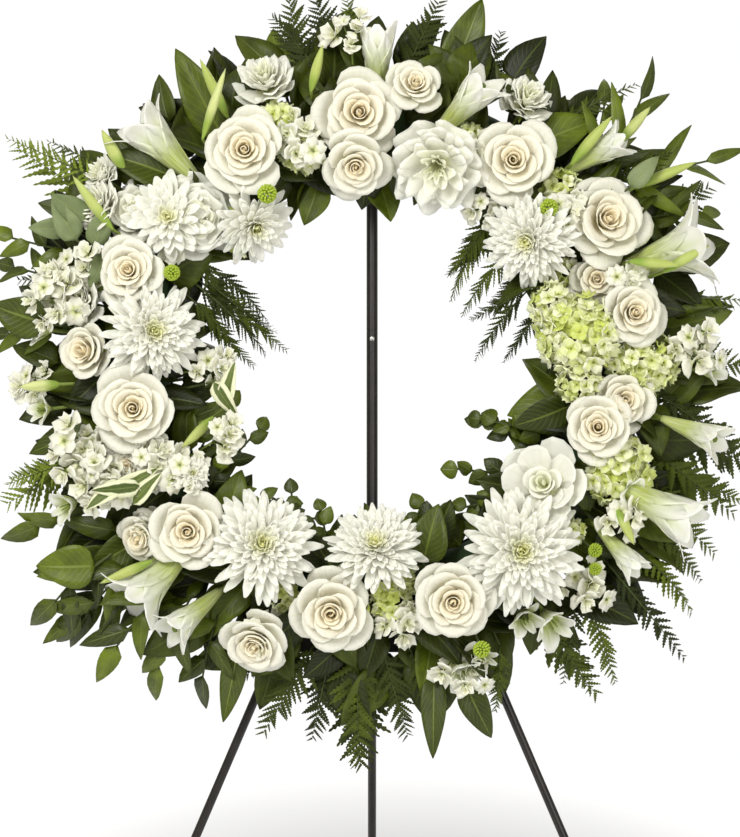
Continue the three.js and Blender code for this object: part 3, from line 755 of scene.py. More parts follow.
def add_petal(bm, place, turn, foot, height, length, half_angle, flare, lean, curl, rand, tint, ruffle=0.0,
              steps=(6, 8), rounding=0.2, tuck=0.05, narrow=0.35, waves=5, curl_start=0.52, middle=0.55,
              point=0.05):
    """A petal wrapped round the flower's axis (Z): one edge is tucked inside and its lip is rolled out."""
    phase = rand.uniform(0, 6)
    skew = rand.uniform(-0.12, 0.12)
    notch = rand.uniform(-0.02, point)

    def shape(u, v):
        edge = u * u
        v_here = v * (1 - rounding * edge * edge * 1.2 - rounding * 0.3 * edge + notch * (1 - edge) ** 4)
        roll = curl * (middle + (1.3 - middle) * (u + skew) ** 2)
        out, up = rib_place(v_here, length, flare, lean, roll, curl_start)
        radius = max(foot + out, 0.04 * foot) * (1 + tuck * u)
        wave = ruffle * v * v * math.sin(waves * u + phase)
        wide = narrow + (1 - narrow) * math.sin(math.pi / 2 * min(1.0, v / 0.6))
        angle = turn + u * half_angle * wide
        radius += wave * 0.5
        return Vector((radius * math.cos(angle), radius * math.sin(angle), height + up + wave))

    add_sheet(bm, shape, steps[0], steps[1], place, tint)


def add_calyx(bm, place, size):
    """The green cup under a flower, with five narrow sepals."""
    cup = start_plant()
    bmesh.ops.create_cone(cup, cap_ends=True, segments=10, radius1=0.05 * size, radius2=0.11 * size,
                          depth=0.12 * size)
    cup.transform(place @ Matrix.Translation((0, 0, 0.03 * size)))
    add_part(bm, cup, STEM)
    rand = random.Random(5)
    for k in range(5):
        turn = place @ Matrix.Rotation(k * math.tau / 5, 4, "Z")
        foot = turn @ Matrix.Translation((0, 0.07 * size, 0.02 * size))
        sepal = foot @ Matrix.Rotation(math.radians(35), 4, "X")
        add_leaf(bm, sepal, 0.34 * size, 0.09 * size, rand, 0.2, 0.9, steps=(2, 5), finish=STEM)


def add_rose(bm, place, size, height, rand, petals=24, openness=1.0):
    """A high heart of wrapped petals, then rows of petals whose lips roll over, and broad guard petals."""
    spread = size / 2
    first = rand.uniform(0, 6)
    for k in range(petals):
        t = k / (petals - 1)
        turn = first + k * GOLDEN_ANGLE + rand.uniform(-0.25, 0.25)
        opened = max(0.0, (t - 0.22) / 0.78)
        foot = spread * (0.045 + 0.165 * t ** 0.8)
        start = height * (0.36 - 0.30 * t ** 0.8)
        length = height * (0.64 - 0.10 * t) + spread * 0.92 * openness * opened ** 0.9
        length *= rand.uniform(0.93, 1.06)
        flare = math.radians(18 + 54 * t ** 0.8)
        lean = math.radians(-9 + 11 * min(1.0, t / 0.22) + 42 * openness * opened ** 1.1
                            + rand.uniform(-4, 4))
        curl = math.radians(-75 + 163 * min(1.0, t / 0.28) ** 0.8 + 62 * opened ** 0.8)
        curl *= rand.uniform(0.85, 1.2)
        half_angle = 2.0 - 1.10 * t ** 0.6
        add_petal(bm, place, turn, foot, start, length, half_angle, flare, lean, curl, rand,
                  max(0.0, 1 - 1.15 * t), ruffle=0.026 * size * t, rounding=0.20 + 0.16 * t, narrow=0.45,
                  waves=3.5, curl_start=0.56 + 0.16 * rand.random(), steps=(9, 9), middle=0.62 - 0.28 * t,
                  point=0.05 + 0.09 * t)
    add_calyx(bm, place, size)


def face_along(point, way, turn=0.0):
    """Stands a flower at a point with its face along a direction."""
    place = way.to_track_quat("Z", "Y").to_matrix().to_4x4()
    place.translation = point
    return place @ Matrix.Rotation(turn, 4, "Z")


def add_head_to_size(bm, place, add_head, size, height, rand, **kinds):
    """Adds a head and scales it, so that its width across comes out right."""
    head = start_plant()
    add_head(head, Matrix(), size, height, rand, **kinds)
    widths = sorted(math.hypot(vert.co.x, vert.co.y) for vert in head.verts)
    grow = 0.5 * size / widths[int(0.985 * len(widths))]
    tall = min(grow * 1.1, 1.0)
    head.transform(place @ Matrix.Diagonal((grow, grow, tall, 1)))
    # A head has its finishes already, so it isn't put in as one part.
    head.to_mesh(scratch)
    head.free()
    bm.from_mesh(scratch)


def cad_flower(node, share, add_head, materials, slot, open_out, **kinds):
    """The flower that a node stands for: its head covers the node's head, on a stem from the foam.
    share is how tall the head is for its width."""
    bm = start_plant()
    rand = random.Random(node)
    foot, way, reach, spread = stem_line(node)
    size = 2 * spread * open_out
    height = share * 2 * spread
    base = foot + way * (reach - height)
    add_stem(bm, foot, base + way * 0.1 * height, 0.0022, segments=8)
    front = (way + Vector((0, 0, 0.45))).normalized()
    add_head_to_size(bm, face_along(base, front, rand.uniform(0, 6)), add_head, size, height, rand, **kinds)
    thicken(piece(node + "_flower", bm, materials, [node]), PETAL_THICKNESS)


def nodes_called(start):
    return [node for node in frame["nodes"] if node.startswith(start)]


for node in nodes_called("rose_"):
    cad_flower(node, 0.62, add_rose, [rose_petal, calyx_skin], "cream_petal", 1.11)


def off_foam(clock, radius, forward):
    """A flower's place, and the way it faces when its stem comes straight out of the foam."""
    point = on_ring(clock, radius, forward)
    core = on_ring(clock, CORE_RADIUS, 0)
    return point, (point - core + Vector((0, 0, 0.03))).normalized()


def loose_flowers(name, rows, add_head, share, materials, slot, seed, thickness=PETAL_THICKNESS, **kinds):
    """Smaller flowers of one kind, each row a clock, radius, forward place and size."""
    bm = start_plant()
    rand = random.Random(seed)
    for clock, radius, forward, size in rows:
        face, way = off_foam(clock, radius, forward)
        height = share * size
        base = face - way * height
        core = on_ring(clock, CORE_RADIUS, 0)
        add_stem(bm, core + (base - core) * 0.2, base + way * 0.1 * height, 0.0018)
        add_head_to_size(bm, face_along(base, way, rand.uniform(0, 6)), add_head, size, height, rand, **kinds)
    thicken(piece(name, bm, materials), thickness)


SPRAY_ROSES = [(71, 0.240, 0.080, 0.055), (100, 0.262, 0.086, 0.062), (9, 0.286, 0.088, 0.055)]
CLOSED_ROSES = [(271, 0.299, 0.078, 0.054), (298, 0.327, 0.066, 0.046),
                (232, 0.305, 0.070, 0.050), (248, 0.322, 0.062, 0.034), (246, 0.272, 0.076, 0.032)]
loose_flowers("spray_roses", SPRAY_ROSES, add_rose, 0.62, [rose_petal, calyx_skin], "cream_petal", 41,
              petals=20)
loose_flowers("closed_roses", CLOSED_ROSES, add_rose, 0.7, [rose_petal, calyx_skin], "cream_petal", 42,
              petals=18, openness=0.6)

# ---- Chrysanthemums ----
# Big double white chrysanthemums: many cupped ray petals, upright and greenish in the middle, long and open
# outside.

mum_petal = petal_finish("mum_petal", (0.955, 0.95, 0.85), (0.90, 0.90, 0.26), (0.90, 0.90, 0.52), veins=10.0,
                         scatter=0.4)


def add_mum(bm, place, size, height, rand, rays, eye=False):
    spread = size / 2
    first = rand.uniform(0, 6)
    for k in range(rays):
        t = (k + 0.5) / rays
        turn = first + k * GOLDEN_ANGLE + rand.uniform(-0.15, 0.15)
        foot = spread * (0.01 + 0.09 * t)
        start = height * (0.56 - 0.44 * t)
        length = spread * (0.16 + 0.84 * t ** 0.62) * rand.uniform(0.86, 1.03)
        lean = math.radians(2 + 82 * t ** 0.5 + rand.uniform(-7, 7))
        curl = math.radians(-30 * (1 - t) - 8 + 26 * t) * rand.uniform(0.3, 1.5)
        # A flower with fewer rays has broader ones.
        half = spread * (0.032 + 0.066 * t ** 0.6) * (185 / rays) ** 0.35 * rand.uniform(0.8, 1.15)
        cup = rand.uniform(0.35, 0.8)
        tint = max(0.0, 1 - t / 0.28)
        twist = rand.uniform(-0.35, 0.35)
        swing = rand.uniform(-0.12, 0.12)
        ray = place @ Matrix.Rotation(turn, 4, "Z")

        def shape(u, v):
            out, up = rib_place(v * (0.97 - 0.07 * u * u + 0.03 * abs(u)), length, 0.0, lean, curl, 0.35)
            wide = half * (0.34 + 0.66 * math.sin(math.pi * min(1.0, 0.06 + 0.50 * v)))
            wide *= min(1.0, (1.05 - v) * 4.2) ** 0.55
            side = wide * u + swing * length * v * v
            rise = cup * (1 - 0.6 * v) * wide * u * u + twist * wide * u * v
            # The cup of the petal opens towards the flower's axis.
            return Vector((foot + out - rise * math.cos(lean), side, start + up + rise * math.sin(lean)))

        add_sheet(bm, shape, 4, 7, ray, tint)
    if eye:
        add_eye(bm, place, 0.13 * size, height * 0.66)
    add_calyx(bm, place @ Matrix.Translation((0, 0, height * 0.02)), size * 0.8)


def add_eye(bm, place, size, up):
    """The button of tiny florets in the middle of a flower."""
    florets = 34
    for k in range(florets):
        t = (k + 0.5) / florets
        out = 0.5 * size * math.sqrt(t)
        angle = k * GOLDEN_ANGLE
        base = Vector((out * math.cos(angle), out * math.sin(angle), up + 0.25 * size * (1 - t)))
        tip = base + Vector((0.1 * out * math.cos(angle), 0.1 * out * math.sin(angle), 0.16 * size))
        add_stem(bm, place @ base, place @ tip, 0.045 * size, 0.07 * size, 5, EYE)


eye_skin = leaf_finish("eye_skin", (0.14, 0.15, 0.015), (0.32, 0.30, 0.03), (0.3, 0.28, 0.04), 0.6, 0.3, 1.0)
for node in nodes_called("mum_"):
    cad_flower(node, 0.46, add_mum, [mum_petal, calyx_skin], "white_petal", 1.30,
               rays=84 if node == "mum_upper_left" else 225)
DAISY_MUMS = [(318, 0.168, 0.070, 0.084), (236.5, 0.214, 0.090, 0.036)]
loose_flowers("daisy_mums", DAISY_MUMS, add_mum, 0.40, [mum_petal, calyx_skin, eye_skin], "white_petal", 43,
              rays=96, eye=True)

# ---- Hydrangeas ----
# Domes of small four-petalled florets on thin branching stalks, white mottled with lime green.

hydrangea_petal = petal_finish("hydrangea_petal", (0.89, 0.90, 0.64), (0.56, 0.66, 0.06), (0.64, 0.71, 0.14),
                               veins=7.0)
FLORET_SIZE = 0.020
LIME = 0.55


def add_bead(bm, radius):
    """The round middle of a small blossom."""
    bead = start_plant()
    bmesh.ops.create_icosphere(bead, subdivisions=1, radius=radius)
    bead.transform(Matrix.Translation((0, 0, 0.05)))
    add_part(bm, bead, STEM)


def floret_mesh():
    """One unit floret: four rounded petals, crossed in pairs, round a small bead."""
    bm = start_plant()
    for k in range(4):
        lift = 0.02 if k % 2 else 0.0
        turn = Matrix.Rotation(k * math.pi / 2, 4, "Z") @ Matrix.Translation((0, 0.02, lift))

        def shape(u, v):
            wide = 0.30 * math.sin(math.pi * (0.10 + 0.80 * v ** 0.8)) ** 0.7
            return Vector((u * wide, 0.5 * v, 0.16 * v * v + 0.10 * abs(u) * v))

        add_sheet(bm, shape, 2, 3, turn)
    add_bead(bm, 0.055)
    return mesh_from(bm, "floret")


floret = floret_mesh()


def add_hydrangea(bm, place, size, height, rand):
    """A dome of florets, which are greener the deeper they sit."""
    spread = size / 2
    count = max(9, int(3.4 * (size / FLORET_SIZE) ** 2))
    for k in range(count):
        t = (k + 0.5) / count
        polar = math.acos(1 - 1.25 * t)
        turn = k * GOLDEN_ANGLE
        way = Vector((math.sin(polar) * math.cos(turn), math.sin(polar) * math.sin(turn), math.cos(polar)))
        ball = rand.uniform(0.80, 1.0)
        rise_here = height * 0.42 + way.z * (height * 0.58 - 0.004)
        top = Vector((way.x * spread * 0.86, way.y * spread * 0.86, rise_here))
        point = Vector((0, 0, height * 0.2)).lerp(top, ball)
        sway = Vector((rand.uniform(-0.4, 0.4), rand.uniform(-0.4, 0.4), rand.uniform(-0.1, 0.5)))
        tip = (way + sway).normalized()
        scale = FLORET_SIZE * rand.uniform(0.75, 1.1)
        tint = min(1.0, max(0.0, rand.gauss(LIME * (1.9 - ball), 0.32)))
        spot = place @ face_along(point, tip, rand.uniform(0, 6))
        copy_shape(bm, floret, spot @ Matrix.Scale(scale, 4), tint)
        if k % 3 == 0:
            add_stem(bm, place @ Vector((0, 0, height * 0.1)), place @ point, 0.0007, segments=3)


THIN_PETAL_THICKNESS = 0.0003
for node in nodes_called("hydrangea_"):
    cad_flower(node, 0.66, add_hydrangea, [hydrangea_petal, calyx_skin], "lime_petal", 1.18)
HYDRANGEA_BITS = [
    (91, 0.258, 0.070, 0.050), (90, 0.302, 0.062, 0.046), (341, 0.217, 0.070, 0.052),
    (23, 0.240, 0.066, 0.042), (48, 0.259, 0.070, 0.046), (200, 0.261, 0.066, 0.036),
    (131, 0.273, 0.060, 0.032), (338, 0.262, 0.072, 0.046), (66, 0.205, 0.060, 0.040),
    (311, 0.170, 0.052, 0.030), (75, 0.180, 0.082, 0.056), (97, 0.205, 0.074, 0.052),
    (172, 0.225, 0.060, 0.040),
]
loose_flowers("hydrangea_bits", HYDRANGEA_BITS, add_hydrangea, 0.6, [hydrangea_petal, calyx_skin],
              "lime_petal", 44, thickness=THIN_PETAL_THICKNESS)

# ---- Lilies ----
# White trumpet lilies: six long pointed petals that overlap into a tube, flare and roll back at the mouth.
# Their feet and midribs are yellow-green, and unopened buds stand among the leaves.

lily_petal = petal_finish("lily_petal", (0.92, 0.915, 0.82), (0.52, 0.62, 0.16), (0.46, 0.56, 0.04),
                          veins=26.0, roughness=0.42, scatter=0.40, rib=True, foot_end=0.80)
bud_skin = petal_finish("bud_skin", (0.42, 0.49, 0.12), (0.60, 0.64, 0.28), (0.20, 0.32, 0.03), veins=9.0,
                        roughness=0.42)
LILY_THICKNESS = 0.0005


def add_lily(bm, place, length, rand, openness):
    """Foot at the origin, mouth along Z. An open one shows its six stamens round the three-lobed style."""
    for k in range(6):
        inner = k % 2
        turn = k * math.tau / 6 + rand.uniform(-0.06, 0.06)
        rib_length = length * (1.02 + 0.16 * openness) * rand.uniform(0.97, 1.03)
        lean = math.radians(6.5 + 3 * openness)
        curl = math.radians(88 * openness + 4) * rand.uniform(0.75, 1.25)
        half = (0.235 if inner else 0.185) * length
        foot = 0.030 * length

        def shape(u, v):
            out, up = rib_place(v, rib_length, 0.06, lean, curl, 0.82 - 0.34 * openness)
            radius = foot + out + (0.0006 if inner else 0.0012)
            wide = half * (math.sin(math.pi * min(1.0, 0.08 + 0.90 * v ** 1.15)) ** 0.8 + 0.02)
            wrap = radius + 0.35 * length * max(0.0, v - 0.55)
            angle = u * wide / wrap
            keel = -0.05 * wide * (1 - abs(u)) ** 2
            back = wrap - radius
            edge = -0.10 * wide * abs(u) ** 2 * math.sin(8 * v + k)
            return Vector(((wrap + keel) * math.cos(angle) - back, wrap * math.sin(angle), up + edge))

        add_sheet(bm, shape, 6, 12, place @ Matrix.Rotation(turn, 4, "Z"), 0.0)
    style_top = length * 0.92
    add_stem(bm, place @ Vector((0, 0, 0.1 * length)), place @ Vector((0, 0, style_top)), 0.0011)
    for k in range(3):
        lobe = Matrix.Rotation(k * math.tau / 3, 4, "Z") @ Vector((0.0022, 0, style_top))
        add_stem(bm, place @ Vector((0, 0, style_top - 0.002)), place @ lobe, 0.0013, 0.0020)
    if openness > 0.7:
        for k in range(6):
            swing = Matrix.Rotation((k + 0.5) * math.tau / 6, 4, "Z")
            low = place @ swing @ Vector((0.003, 0, 0.15 * length))
            high = place @ swing @ Vector((0.14 * length, 0, 0.80 * length))
            add_stem(bm, low, high, 0.0006, segments=4)
            anther = high + Vector((0, -0.004, 0))
            add_stem(bm, anther, high + Vector((0, 0.004, 0.001)), 0.0013, 0.0009, 6, EYE)
    add_stem(bm, place @ Vector((0, 0, -0.012)), place @ Vector((0, 0, 0.010)), 0.0026, 0.036 * length, 8)


def lily_piece(name, bm, stands_for=()):
    thicken(piece(name, bm, [lily_petal, calyx_skin, eye_skin], stands_for), LILY_THICKNESS)


def cad_lily(node, openness):
    bm = start_plant()
    rand = random.Random(node)
    foot, way, reach, spread = stem_line(node)
    length = min(3.2 * spread, reach - 0.004)
    tip = foot + way * reach
    # The trumpet lies flatter over its neighbours than its stem, which bends up to it.
    way = Vector((way.x, way.y, 0.30 * way.z)).normalized()
    base = tip - way * length
    add_stem(bm, foot, base, 0.0026, segments=8)
    add_lily(bm, face_along(base, way, rand.uniform(0, 6)), length, rand, openness)
    lily_piece(node + "_flower", bm, [node])


LILY_OPENNESS = {"lily_upper_left": 0.68, "lily_top": 0.25, "lily_upper_right": 0.4, "lily_right": 0.9,
                 "lily_lower_right": 0.55, "lily_lower_left": 0.8}
for node, openness in LILY_OPENNESS.items():
    cad_lily(node, openness)

# Each side lily: clock, radius and forward place of its foot, the same of its mouth, and how open it is.
SIDE_LILIES = [(102, 0.300, 0.050, 104, 0.361, 0.075, 0.5), (46, 0.270, 0.045, 49, 0.338, 0.060, 0.4),
               (127, 0.285, 0.045, 129, 0.345, 0.060, 0.3), (213, 0.280, 0.040, 216, 0.346, 0.064, 0.55)]


def side_lilies():
    bm = start_plant()
    rand = random.Random(51)
    for clock, radius, forward, tip_clock, tip_radius, tip_forward, openness in SIDE_LILIES:
        base = on_ring(clock, radius, forward)
        tip = on_ring(tip_clock, tip_radius, tip_forward)
        way = (tip - base).normalized()
        add_stem(bm, stem_foot(clock, radius), base, 0.0024)
        add_lily(bm, face_along(base, way, rand.uniform(0, 6)), (tip - base).length, rand, openness)
    return bm


lily_piece("side_lilies", side_lilies())


def add_bud(bm, base, tip, width, rand):
    """A closed bud with three rounded lobes, drawn out to a blunt tip."""
    length = (tip - base).length
    turn = rand.uniform(0, 6)
    bud = start_plant()
    bmesh.ops.create_grid(bud, x_segments=12, y_segments=9, size=1.0, calc_uvs=True)
    layer = bud.verts.layers.float["tint"]
    tint = rand.random()
    for vert in bud.verts:
        angle = math.pi * vert.co.x + turn
        v = (vert.co.y + 1) / 2
        radius = 0.5 * width * math.sin(math.pi * (0.03 + 0.97 * v) ** 0.85) ** 0.75 if v < 1 else 0.0
        radius *= 1 + 0.10 * math.cos(3 * angle)
        vert.co = (radius * math.cos(angle), radius * math.sin(angle), length * v)
        vert[layer] = tint
    bmesh.ops.remove_doubles(bud, verts=bud.verts, dist=1e-6)
    bmesh.ops.recalc_face_normals(bud, faces=bud.faces)
    bud.transform(face_along(base, (tip - base).normalized()))
    add_part(bm, bud)


def add_alstroemeria(bm, place, size, height, rand):
    """A small open lily flower: three broad blunt petals outside, three narrow striped ones between them."""
    for k in range(6):
        inner = k % 2
        turn = k * math.tau / 6 + rand.uniform(-0.12, 0.12)
        length = size * (0.66 if inner else 0.70) * rand.uniform(0.9, 1.08)
        half = size * (0.11 if inner else 0.19) * rand.uniform(0.9, 1.1)
        lean = math.radians(rand.uniform(22, 46))
        curl = math.radians(rand.uniform(10, 55))
        wave = rand.uniform(0.04, 0.12)

        def shape(u, v):
            out, up = rib_place(v, length, 0.1, lean, curl, 0.45)
            wide = half * (math.sin(math.pi * min(1.0, 0.06 + 0.86 * v ** 1.3)) ** 0.7 + 0.03)
            fold = 0.35 * wide * u * u + wave * wide * math.sin(7 * v + 3 * u)
            rise_here = height * 0.1 + up + fold * math.sin(lean)
            return Vector((0.02 * size + out - fold * math.cos(lean), wide * u, rise_here))

        add_sheet(bm, shape, 4, 7, place @ Matrix.Rotation(turn, 4, "Z"), 0.25 * inner)
    for k in range(4):
        swing = Matrix.Rotation(k * math.tau / 4 + 0.3, 4, "Z") @ Vector((0.06 * size, 0, 0.50 * size))
        add_stem(bm, place @ Vector((0, 0, height * 0.1)), place @ swing, 0.0005, 0.0008, 4)
    add_stem(bm, place @ Vector((0, 0, -0.004)), place @ Vector((0, 0, height * 0.16)), 0.0016,
             0.05 * size, 8)


ALSTROEMERIA = [(244, 0.352, 0.052, 0.044), (146, 0.332, 0.052, 0.060), (150, 0.312, 0.058, 0.046),
                (164, 0.340, 0.046, 0.050), (160, 0.330, 0.044, 0.040), (88, 0.338, 0.054, 0.052),
                (92, 0.350, 0.046, 0.042), (280, 0.332, 0.060, 0.054), (275, 0.345, 0.050, 0.046),
                (252, 0.300, 0.068, 0.036), (243, 0.306, 0.074, 0.040), (49, 0.222, 0.078, 0.044),
                (338, 0.238, 0.078, 0.044), (118, 0.300, 0.072, 0.042), (261, 0.345, 0.046, 0.036)]
loose_flowers("alstroemeria", ALSTROEMERIA, add_alstroemeria, 0.55, [lily_petal, calyx_skin],
              "lily_petal", 53)

# Each bud: clock and radius of its foot, clock and radius of its tip, width, forward.
LILY_BUDS = [
    (329, 0.285, 330, 0.350, 0.013, 0.050), (307, 0.315, 310, 0.358, 0.015, 0.055),
    (296, 0.292, 301, 0.353, 0.013, 0.065), (347, 0.276, 351, 0.319, 0.012, 0.065),
    (249, 0.172, 244, 0.214, 0.012, 0.060), (227, 0.303, 230, 0.357, 0.012, 0.065),
    (46, 0.281, 45, 0.344, 0.013, 0.060), (57, 0.318, 59, 0.385, 0.013, 0.045),
    (70, 0.276, 74, 0.322, 0.012, 0.080), (74, 0.305, 72, 0.357, 0.012, 0.075),
    (122, 0.290, 126, 0.325, 0.012, 0.065), (322, 0.278, 333, 0.325, 0.011, 0.075),
    (265, 0.318, 265, 0.358, 0.014, 0.050), (49, 0.335, 48, 0.382, 0.013, 0.040),
]


def lily_buds():
    bm = start_plant()
    rand = random.Random(52)
    for clock, radius, tip_clock, tip_radius, width, forward in LILY_BUDS:
        base = on_ring(clock, radius, forward)
        add_stem(bm, stem_foot(clock, radius, forward=0.01), base, 0.0018)
        add_bud(bm, base, on_ring(tip_clock, tip_radius, forward + 0.012), 0.88 * width, rand)
    return bm


piece("lily_buds", lily_buds(), [bud_skin, calyx_skin])

# ---- Ruffled blooms: lisianthus, peony and carnations ----
# Softer double flowers with thin frilled petals, pure white with a faint green throat.

frill_petal = petal_finish("frill_petal", (0.94, 0.935, 0.83), (0.86, 0.88, 0.50), (0.86, 0.88, 0.46),
                           veins=22.0, scatter=0.38)


def add_frilled(bm, place, size, height, rand, petals, frill, upright, steps=(6, 8), cup=True):
    """Rows of thin petals with waved lips, on a green cup where the flower is big enough to show one."""
    spread = size / 2
    first = rand.uniform(0, 6)
    for k in range(petals):
        t = k / (petals - 1)
        turn = first + k * GOLDEN_ANGLE + rand.uniform(-0.25, 0.25)
        length = spread * (0.62 + 0.58 * t ** 0.7) * rand.uniform(0.86, 1.06)
        lean = math.radians(2 + (58 - 30 * upright) * t ** 0.9 + rand.uniform(-10, 10))
        curl = math.radians(12 + 62 * t) * rand.uniform(0.3, 1.4)
        add_petal(bm, place, turn, spread * (0.03 + 0.08 * t), height * (0.34 - 0.26 * t), length,
                  0.95 - 0.35 * t, math.radians(14 + 34 * t), lean, curl, rand, max(0.0, 0.9 - 1.6 * t),
                  ruffle=frill * size * rand.uniform(0.5, 1.2), waves=rand.uniform(4, 7), rounding=0.08,
                  steps=steps)
    if cup:
        add_calyx(bm, place, size)


cad_flower("lisianthus_upper_right", 0.6, add_frilled, [frill_petal, calyx_skin], "white_petal", 1.24,
           petals=30, frill=0.10, upright=0.15, steps=(12, 8))
DOUBLES = [(308, 0.222, 0.082, 0.084), (302, 0.288, 0.070, 0.078)]
loose_flowers("white_doubles", DOUBLES, add_frilled, 0.6, [frill_petal, calyx_skin], "white_petal", 60,
              petals=44, frill=0.035, upright=0.2)
CARNATIONS = [(247, 0.244, 0.082, 0.046), (240, 0.238, 0.084, 0.036), (245, 0.290, 0.074, 0.050),
              (232, 0.292, 0.070, 0.046), (299, 0.330, 0.066, 0.050), (283, 0.330, 0.058, 0.044),
              (339, 0.316, 0.062, 0.062), (31, 0.318, 0.060, 0.056), (281, 0.312, 0.062, 0.057),
              (304, 0.345, 0.048, 0.044)]
loose_flowers("carnations", CARNATIONS, add_frilled, 0.6, [frill_petal, calyx_skin], "white_petal", 61,
              petals=36, frill=0.08, upright=0.35, steps=(9, 6))


def add_peony(bm, place, size, height, rand):
    """A tight cream cup in the middle of two rows of five broad smooth guard petals."""
    add_rose(bm, place @ Matrix.Translation((0, 0, height * 0.10)), size * 0.42, height * 0.80, rand,
             petals=12, openness=0.45)
    spread = size / 2
    for k in range(10):
        t = k / 9
        turn = k * math.tau / 5 + (0.6 if k > 4 else 0.0) + rand.uniform(-0.15, 0.15)
        add_petal(bm, place, turn, spread * 0.12, height * (0.20 - 0.12 * t), spread * (0.84 + 0.24 * t),
                  0.74, math.radians(38), math.radians(40 + 22 * t), math.radians(-18 + 30 * t), rand, 0.0,
                  ruffle=0.02 * size, rounding=0.30, waves=3, narrow=0.25)
    add_calyx(bm, place, size)


cad_flower("peony_lower_right", 0.6, add_peony, [frill_petal, calyx_skin], "white_petal", 1.35)

# ---- Plumosus, ruscus and the tall salal leaf ----
# Finer greenery: drooping sprays of plumosus, ruscus with pointed leaves set alternately on wiry stems,
# and one tall leathery leaf at the top.

cad_frond("plumosus_lower_right", plumosus_rib, 1.3, 14)

# Each spray: base clock and radius, the way it points, length, width, forward.
PLUMOSUS_SPRAYS = [(131, 0.315, 141, 0.135, 0.046, 0.028), (138, 0.325, 160, 0.100, 0.040, 0.030),
                   (138, 0.315, 190, 0.104, 0.038, 0.022), (156, 0.320, 182, 0.070, 0.032, 0.022),
                   (126, 0.320, 124, 0.110, 0.044, 0.020), (120, 0.320, 134, 0.100, 0.040, 0.014),
                   (110, 0.325, 116, 0.085, 0.040, 0.014), (146, 0.315, 150, 0.105, 0.042, 0.022)]


def plumosus_sprays():
    bm = start_plant()
    rand = random.Random(71)
    for clock, radius, points, length, width, forward in PLUMOSUS_SPRAYS:
        base = on_ring(clock, radius, forward)
        add_stem(bm, stem_foot(clock, radius), base, 0.0011)
        add_frond(bm, base, heading(points, 0.2), length, width, rand, 0.8, 14, plumosus_rib,
                  Vector((0, 0.1, 1)), lean_in=50)
    return bm


fern_piece("plumosus_sprays", plumosus_sprays())

ruscus_skin = leaf_finish("ruscus_skin", (0.018, 0.025, 0.002), (0.140, 0.190, 0.009), (0.16, 0.20, 0.04),
                          0.32, 0.35, 5.0)
SMALL_LEAF_THICKNESS = 0.0004


def add_ruscus(bm, point, direction, length, rand, leaf_length, leaf_width, droop, gap, tip):
    """Pointed leaves on alternate sides of a thin stem that arches over.
    gap is how far apart they sit for their length."""
    bend = droop * rand.uniform(0.7, 1.3) + 1e-3
    place = lay(point, direction, roll=rand.uniform(-0.3, 0.3))

    def on_stem(v):
        return Vector((0, *arch(length, bend, v)))

    count = max(4, int(length / (gap * leaf_length)))
    for k in range(count):
        v = 0.12 + 0.86 * k / (count - 1)
        hand = -1 if k % 2 else 1
        angle = hand * math.radians(52 - 30 * v + rand.uniform(-10, 10))
        if k == count - 1:
            angle = 0.1 * hand
        turn = Matrix.Translation(on_stem(v)) @ Matrix.Rotation(-bend * v, 4, "X")
        turn = turn @ Matrix.Rotation(-angle, 4, "Z") @ Matrix.Rotation(rand.uniform(-0.5, 0.5), 4, "Y")
        turn = turn @ Matrix.Rotation(rand.uniform(-0.1, 0.35), 4, "X")
        grown = leaf_length * rand.uniform(0.9, 1.25) * (1 - 0.25 * v)
        add_leaf(bm, place @ turn, grown, leaf_width * rand.uniform(0.95, 1.25), rand, 0.25, 0.4, tip, (2, 6))
    steps = 5
    for k in range(steps):
        add_stem(bm, place @ on_stem(k / steps), place @ on_stem((k + 1) / steps), 0.0010, 0.0009, 4)


def ruscus_piece(name, bm, stands_for=()):
    made = piece(name, bm, [ruscus_skin, stem_skin], stands_for)
    thicken(made, SMALL_LEAF_THICKNESS)


def cad_ruscus(node):
    bm = start_plant()
    foot, way, reach, _ = stem_line(node)
    first_leaf = foot + way * 0.03
    add_stem(bm, foot, first_leaf, 0.0012)
    add_ruscus(bm, first_leaf, way, reach - 0.05, random.Random(node), 0.056, 0.019, 0.1, 0.34, 0.58)
    ruscus_piece(node + "_stem", bm, [node])


cad_ruscus("ruscus_lower_left")

